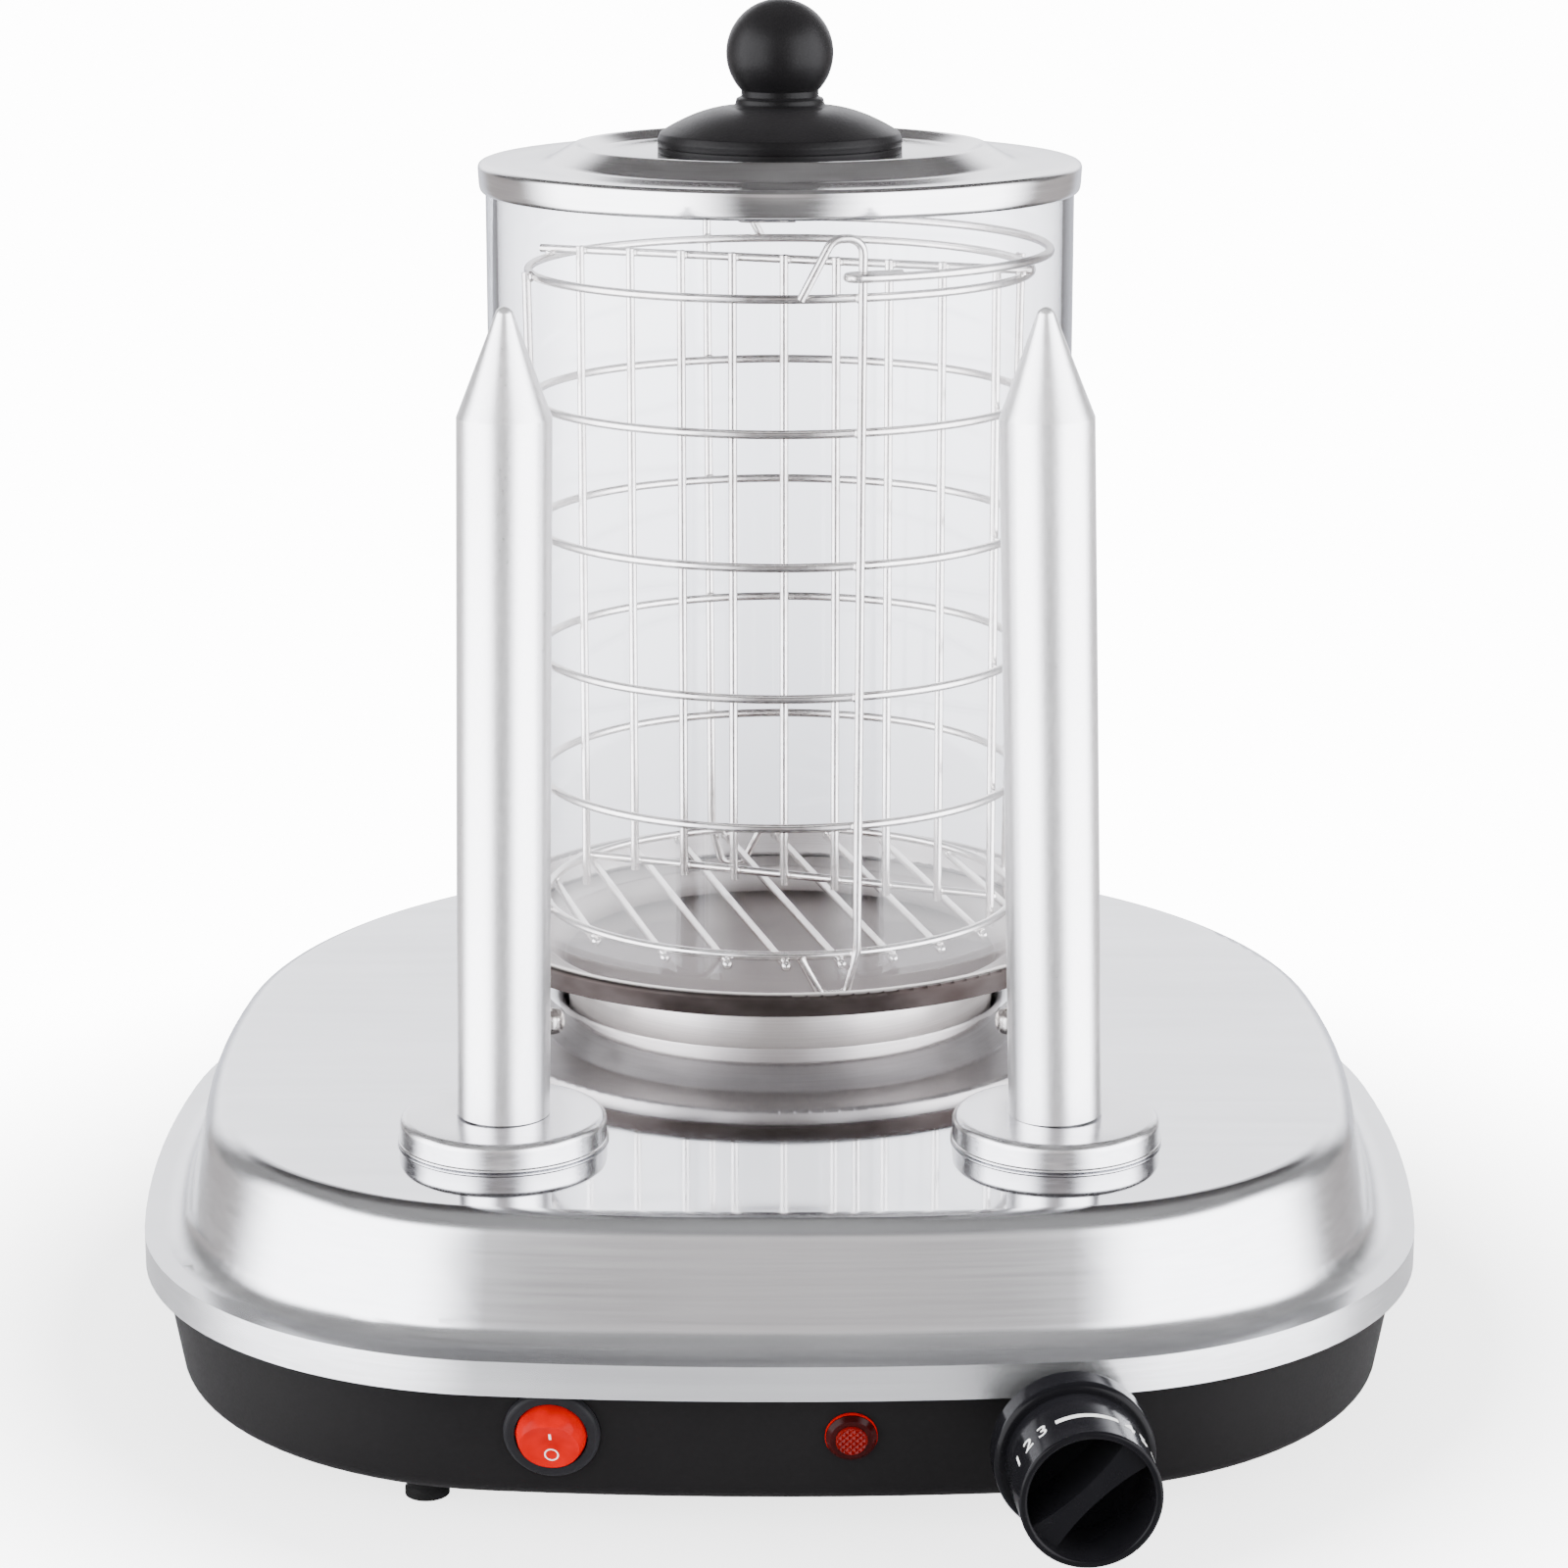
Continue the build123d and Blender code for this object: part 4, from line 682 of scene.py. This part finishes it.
# a shallow pressed cup under each spike, rolled over at the top and beaded where it stands on the plate
def buildSpikeDiscs():
    values = {"x": 68.3, "y": -84.27, "foot": 75.7, "height": 6.8, "bore": 8.5, "outer": 25.6, "sheet": 0.8,
              "roll": 2.0, "rollSteps": 8, "sides": 144}
    top, bore, outer, inner = values["height"], values["bore"], values["outer"], values["outer"] - values["sheet"]
    # the inside down to the foot, then the bead
    section = [
        (bore, top - 0.8), (inner - 1.2, top - 0.8), (inner - 0.35, top - 1.15), (inner, top - 2.0), (inner, 0.1),
        (inner + 0.1, 0.0), (outer + 0.06, 0.0), (outer + 0.28, 0.08), (outer + 0.44, 0.24), (outer + 0.5, 0.44),
        (outer + 0.46, 0.64), (outer + 0.34, 0.80), (outer + 0.16, 0.90), (outer + 0.03, 0.98), (outer, 1.12),
    ]
    for step in range(values["rollSteps"] + 1):
        turn = math.radians(90 * step / values["rollSteps"])
        section.append((outer - values["roll"] * (1 - math.cos(turn)), top - values["roll"] * (1 - math.sin(turn))))
    section += [(9.5, top), (8.9, top - 0.05), (8.6, top - 0.2), (bore, top - 0.45), (bore, top - 0.8)]
    section = [(radius, values["foot"] + height) for radius, height in section]
    first = turnPiece("spikeDiscLeft", section, values["sides"])
    second = copyOf(first)
    second.name = "spikeDiscRight"
    for disc, x, node in ((first, -values["x"], "left_disc"), (second, values["x"], "right_disc")):
        placeOn(disc, (x, values["y"], 0))
        dress(disc, "base", discSteel)
        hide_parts(node)


# numbers and a band on the side of the knob's tube, tops towards the wall
def buildKnobMarks():
    values = {"place": (66.6, -155.2, 28.3), "turn": 5.3, "radius": 16.4, "proud": 0.05, "sink": 0.10, "height": 4.4,
              "capShare": 0.70, "weight": 0.01, "curve": 6, "out": 29.4,
              "numbers": (("1", 158.5), ("2", 143.0), ("3", 127.5), ("4", 52.5), ("5", 36.5), ("6", 20.5)),
              "band": (63.5, 115.0), "bandAt": (26.3, 28.0), "bandSides": 120, "crease": 30}
    place = Vector(values["place"])
    right = flatDirection(values["turn"])
    up = Vector((0, 0, 1))
    out = Vector((right.y, -right.x, 0))
    inner, outer = values["radius"] - values["sink"], values["radius"] + values["proud"]
    marks = []
    for digit, angle in values["numbers"]:
        deselectAll()
        bpy.ops.object.text_add(location=(0, 0, 0))
        mark = bpy.context.active_object
        mark.data.body = digit
        mark.data.align_x = "CENTER"
        mark.data.size = values["height"] / values["capShare"] * mm
        mark.data.extrude = (values["proud"] + values["sink"]) / 2 * mm
        mark.data.resolution_u = values["curve"]
        mark.data.offset = values["weight"] * mm
        bpy.ops.object.convert(target="MESH")
        mark = bpy.context.active_object
        around = math.radians(angle)
        outward = right * math.cos(around) + up * math.sin(around)
        along = right * math.sin(around) - up * math.cos(around)
        placeOn(mark, place + outward * (inner + outer) / 2 + out * values["out"], along, -out, outward)
        marks.append(mark)
    # the band is a turned ring, cut off at its two ends and across its lower half
    low, high = values["bandAt"]
    section = [(inner, low), (outer, low), (outer, high), (inner, high), (inner, low)]
    band = turnPiece("band", section, values["bandSides"])
    start, end = [math.radians(angle) for angle in values["band"]]
    for cut in ((math.sin(start), -math.cos(start), 0), (-math.sin(end), math.cos(end), 0), (0, -1, 0)):
        editAll(band)
        bpy.ops.mesh.bisect(plane_co=(0, 0, 0), plane_no=cut, use_fill=True, clear_outer=True)
    closeSeams()
    placeOn(band, place, right, up, out)
    marks.append(band)
    joined = joinAs("knobMarks", marks)
    smoothBy(joined, values["crease"])
    dress(joined, "knob", markPaint)


# I and O laid into the dish of the rocker's face
def buildRockerMarks():
    values = {"x": -53.2, "height": 26.7, "out": 0.4, "tilt": 15.5, "face": 3.7, "dish": 30.0, "proud": 0.06,
              "sink": 0.14, "soft": 0.05, "bar": (0.56, 2.1), "barAt": (0.2, 2.9), "ring": (1.85, 1.47),
              "ringAt": (0.2, -3.2), "ringEdge": 0.03, "ringSides": 48, "squash": 0.94}
    place, right, up, out = wallFrame(values["x"], values["height"], values["out"])
    tilt = math.radians(values["tilt"])
    face = out * math.cos(tilt) - up * math.sin(tilt)
    faceUp = up * math.cos(tilt) + out * math.sin(tilt)

    def onDish(across, above):
        deep = values["face"] + values["dish"] - math.sqrt(values["dish"] ** 2 - across ** 2 - above ** 2)
        towards = face * (values["face"] + values["dish"] - deep) - right * across - faceUp * above
        return place + right * across + faceUp * above + face * deep, towards.normalized()

    deselectAll()
    bpy.ops.mesh.primitive_cube_add(size=1)
    bar = bpy.context.active_object
    width, length = values["bar"]
    bar.scale = (width * mm, length * mm, (values["proud"] + values["sink"]) * mm)
    bpy.ops.object.transform_apply(location=True, rotation=True, scale=True)
    softEdges(bar, values["soft"])
    outer, inner = values["ring"]
    low, high, edge = -values["sink"], values["proud"], values["ringEdge"]
    ring = turnPiece("ringMark", [
        (inner, low), (outer, low), (outer, high - edge), (outer - edge, high), (inner + edge, high),
        (inner, high - edge), (inner, low),
    ], values["ringSides"])
    ring.scale = (values["squash"], 1, 1)
    bpy.ops.object.transform_apply(location=True, rotation=True, scale=True)
    for piece, spot, raised in ((bar, values["barAt"], (low + high) / 2), (ring, values["ringAt"], 0.0)):
        point, towards = onDish(*spot)
        sideways = faceUp.cross(towards).normalized()
        placeOn(piece, point + towards * raised, sideways, towards.cross(sideways), towards)
    joined = joinAs("rockerMarks", [bar, ring])
    dress(joined, "rocker", markPaint)


# lens of the lamp: a turned cap with a field of small pyramids in its face, and a skirt round it
def buildLampLens():
    values = {"x": 16.8, "height": 26.7, "radius": 3.7, "field": 3.45, "cells": 7, "point": 0.5, "face": 3.2,
              "back": -2.8, "spare": 1.15, "fieldAt": 0.52, "fieldDeep": 0.6, "gap": 0.02, "trimAt": 0.5,
              "trimDeep": 4, "turn": 45, "sides": 64,
              "skirt": [(5.4, 0.05), (6.13, 0.05), (6.16, 0.15), (6.16, 0.75), (6.1, 0.85), (5.4, 0.85), (5.4, 0.05)]}
    place, right, up, out = wallFrame(values["x"], values["height"], out=0)
    face, back, radius, inner = values["face"], values["back"], values["radius"], values["field"]
    cap = turnPiece("lampLens", [
        (pole, back), (radius, back), (radius, face - 0.6), (radius - 0.04, face - 0.42),
        (radius - 0.12, face - 0.32), (inner, face - 0.3), (inner, face - 0.55), (pole, face - 0.55),
    ], values["sides"])
    deselectAll()
    bpy.ops.mesh.primitive_grid_add(
        x_subdivisions=values["cells"], y_subdivisions=values["cells"],
        size=2 * inner * values["spare"] * mm,
        location=(0, 0, (face - values["fieldAt"]) * mm), rotation=(0, 0, math.radians(values["turn"])),
    )
    field = bpy.context.active_object
    bpy.ops.object.transform_apply(location=True, rotation=True, scale=True)
    editAll(field)
    bpy.ops.mesh.poke(offset=values["point"] * mm)
    bpy.ops.mesh.select_all(action="DESELECT")
    bpy.ops.mesh.select_non_manifold()
    bpy.ops.mesh.extrude_edges_move()
    bpy.ops.transform.translate(value=(0, 0, -values["fieldDeep"] * mm))
    bpy.ops.mesh.edge_face_add()
    closeSeams()
    deselectAll()
    bpy.ops.mesh.primitive_cylinder_add(
        vertices=values["sides"], radius=(inner - values["gap"]) * mm, depth=values["trimDeep"] * mm,
        location=(0, 0, (face - values["trimAt"]) * mm),
    )
    cutWith(field, bpy.context.active_object, "INTERSECT")
    joined = joinAs("lampLens", [cap, field])
    placeOn(joined, place, right, up, out)
    skirt = turnPiece("lampSkirt", values["skirt"], values["sides"])
    placeOn(skirt, place, right, up, out)
    dress(skirt, "base", redPlastic)
    dress(joined, "base", lampRed)
    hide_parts("lamp_lens")


# small swellings of melted wire where the basket's wires cross
def buildWelds():
    values = {"hoopLow": 100.7, "pitch": 34.9, "hoops": 6, "narrow": 65.2, "wide": 68.0, "wire": 2.2,
              "uprights": (-72.5, 107.5, 17.5, -162.5), "upright": (0.95, 1.75, 1.55),
              "floorTurn": 104.0, "floorPitch": 14.6, "floorWires": 9, "stub": 1.7, "end": (1.75, 1.45, 1.4),
              "seat": (1.5, 1.3, 0.9), "divider": -20.5, "shift": 2.0, "dividerPitch": 15.0, "dividerWires": 9,
              "lowRise": 4.2, "crossing": (0.95, 1.55, 1.45), "barEnd": (1.6, 1.5, 0.9)}
    low, wire, narrow, wide = values["hoopLow"], values["wire"], values["narrow"], values["wide"]
    climb = values["pitch"] * (values["hoops"] - 1)
    deselectAll()
    bpy.ops.mesh.primitive_uv_sphere_add(segments=14, ring_count=8, radius=mm)
    bead = bpy.context.active_object
    bpy.ops.object.shade_smooth()
    beads = []

    # a bead at a height and a place beside the axis, its first size along the given direction
    def weld(beside, height, out, size):
        made = copyOf(bead)
        made.scale = size
        pickOnly(made)
        bpy.ops.object.transform_apply(location=False, rotation=False, scale=True)
        placeOn(made, beside + Vector((0, middle, height)), out, Vector((0, 0, 1)).cross(out), (0, 0, 1))
        beads.append(made)

    # wires set in a row, as far to one side of the middle as to the other
    def rowOf(wires, pitch):
        return [(count - (wires - 1) / 2) * pitch for count in range(wires)]

    for count in range(values["hoops"]):
        height = low + values["pitch"] * count
        radius = narrow + (wide - narrow) * (height - low) / climb
        for angle in values["uprights"]:
            out = flatDirection(angle)
            weld(out * (radius + wire / 2), height, out, values["upright"])
    # the floor wires are welded under the lowest hoop and end in a bead just outside it
    along = flatDirection(values["floorTurn"])
    across = Vector((along.y, -along.x, 0))
    for offset in rowOf(values["floorWires"], values["floorPitch"]):
        reach = math.sqrt(narrow ** 2 - offset ** 2)
        for side in (1, -1):
            weld(across * offset + along * side * (reach + values["stub"]), low - wire, along, values["end"])
            weld(across * offset + along * side * reach, low - wire / 2, along, values["seat"])
    # both bars of the divider, with its upright wires on their near side
    along = flatDirection(values["divider"])
    near = Vector((along.y, -along.x, 0))
    topBar = low + climb + wire
    for height in (topBar, low + values["lowRise"]):
        for offset in rowOf(values["dividerWires"], values["dividerPitch"]):
            weld(along * (values["shift"] + offset) + near * wire / 2, height, near, values["crossing"])
    for side in (1, -1):
        weld(along * side * wide, topBar - wire / 2, along, values["barEnd"])
    bpy.data.objects.remove(bead, do_unlink=True)
    joined = joinAs("basketWelds", beads)
    dress(joined, "basket", basketWire)


buildLid()
buildLidKnob()
buildScrews()
buildSpikeDiscs()
buildKnobMarks()
buildRockerMarks()
buildLampLens()
buildWelds()
print("stage: pieces")


def buildFloor():
    values = {"radius": 1.6, "sides": 96, "below": 0.0002, "fade": (0.19, 0.38), "glow": 2.6, "rough": 0.85,
              "colour": (0.80, 0.80, 0.805), "mottle": 0.985, "gloss": 0.1}
    deselectAll()
    bpy.ops.mesh.primitive_circle_add(
        vertices=values["sides"], radius=values["radius"], fill_type="NGON", location=(0, 0, -values["below"]),
    )
    floor = bpy.context.active_object
    floor.name = "paperFloor"
    material, tree, shader = newMaterial("palePaper", values["colour"], 0.0, values["rough"])
    mottle = noise(tree, objectPoint(tree), scale=3.0, detail=2.0, rough=0.5)
    darker = [values["mottle"] * part for part in values["colour"]]
    distance = vectorCalc(tree, "LENGTH", {0: objectPoint(tree)}, "Value")
    # the paper is lit from below for the camera alone, as on a light table
    seen = addNode(tree, "ShaderNodeLightPath").outputs["Is Camera Ray"]
    feed(tree, shader, {
        "Base Color": tint(tree, mottle, darker, values["colour"]),
        "Specular IOR Level": values["gloss"],
        "Alpha": spread(tree, distance, 1.0, 0.0, *values["fade"]),
        "Emission Color": (1, 1, 1, 1),
        "Emission Strength": times(tree, seen, values["glow"]),
    })
    floor.data.materials.append(material)


def buildKeyLight():
    values = {"place": (0.0, -0.35, 2.2), "size": 1.2, "power": 12.0}
    bpy.ops.object.light_add(type="AREA", location=values["place"])
    lamp = bpy.context.active_object
    lamp.name = "keyLight"
    lamp.data.size = values["size"]
    lamp.data.energy = values["power"]
    lamp.visible_glossy = False


# 1 between two angles in degrees and 0 outside, with a soft change at both
def between(tree, value, low, high, soft):
    steps = []
    for at, start, end in ((low, 0.0, 1.0), (high, 1.0, 0.0)):
        edge = (math.radians(at - soft), math.radians(at + soft))
        steps.append(spread(tree, value, start, end, *edge, interpolation_type="SMOOTHSTEP"))
    return times(tree, *steps)


# the studio's soft panels, the same left and right: 0 round is towards the camera, 180 is behind the cooker
def buildStudio():
    white, warm, cool = (0.962, 0.962, 1.0), (1.0, 0.91, 0.90), (0.86, 0.89, 1.0)
    values = {
        "base": (0.075, 0.068, 0.070),
        "seen": (14.0, 14.0, 14.0, 1),
        "behindHue": (0.925, 0.935, 1.0),
        "behind": (2.0, 5.0),
        "behindAt": (-16, -7),
        "panels": (
            {"from": 27, "to": 102, "soft": 14, "low": -36, "high": 35, "fade": 8, "power": 8.5, "hue": white},
            {"from": 108, "to": 152, "soft": 10, "low": -24, "high": 3, "fade": 8, "power": 0.38, "hue": warm},
            {"from": 152, "to": 200, "soft": 9, "low": -26, "high": 5, "fade": 8, "power": 1.25, "hue": cool},
            {"from": 146, "to": 200, "soft": 12, "low": 4, "high": 27, "fade": 7, "power": 2.8, "hue": white},
            {"from": -40, "to": 16, "soft": 12, "low": -4, "high": 34, "fade": 9, "power": 0.50, "hue": warm},
        ),
    }
    world = bpy.data.worlds.new("studio")
    bpy.context.scene.world = world
    world.use_nodes = True
    tree = world.node_tree
    place = addNode(tree, "ShaderNodeTexCoord").outputs["Generated"]
    x, y, z = addNode(tree, "ShaderNodeSeparateXYZ", {0: place}).outputs
    around = calc(tree, "ABSOLUTE", calc(tree, "ARCTAN2", x, times(tree, y, -1.0)))
    height = calc(tree, "ARCSINE", z)
    light = values["base"]
    for panel in values["panels"]:
        sides = between(tree, around, panel["from"], panel["to"], panel["soft"])
        rise = between(tree, height, panel["low"], panel["high"], panel["fade"])
        power = times(tree, times(tree, sides, rise), panel["power"])
        glow = vectorCalc(tree, "SCALE", {0: panel["hue"], "Scale": power})
        light = vectorCalc(tree, "ADD", {0: glow, 1: light})
    # white paper behind everything, seen straight or through the glass, that lights nothing
    rays = addNode(tree, "ShaderNodeLightPath").outputs
    straight = calc(tree, "LESS_THAN", calc(tree, "ADD", rays["Glossy Depth"], rays["Diffuse Depth"]), 0.5)
    inGlass = calc(tree, "GREATER_THAN", rays["Transmission Depth"], 0.5)
    # through the glass the paper is a cooler grey that deepens downwards
    shade = spread(tree, height, *values["behind"], *[math.radians(angle) for angle in values["behindAt"]])
    behind = vectorCalc(tree, "SCALE", {0: values["behindHue"], "Scale": shade})
    paper = blend(tree, inGlass, values["seen"], behind)
    feed(tree, tree.nodes["Background"], {"Color": blend(tree, straight, light, paper), "Strength": 1.0})


buildFloor()
buildKeyLight()
buildStudio()
print("stage: light")
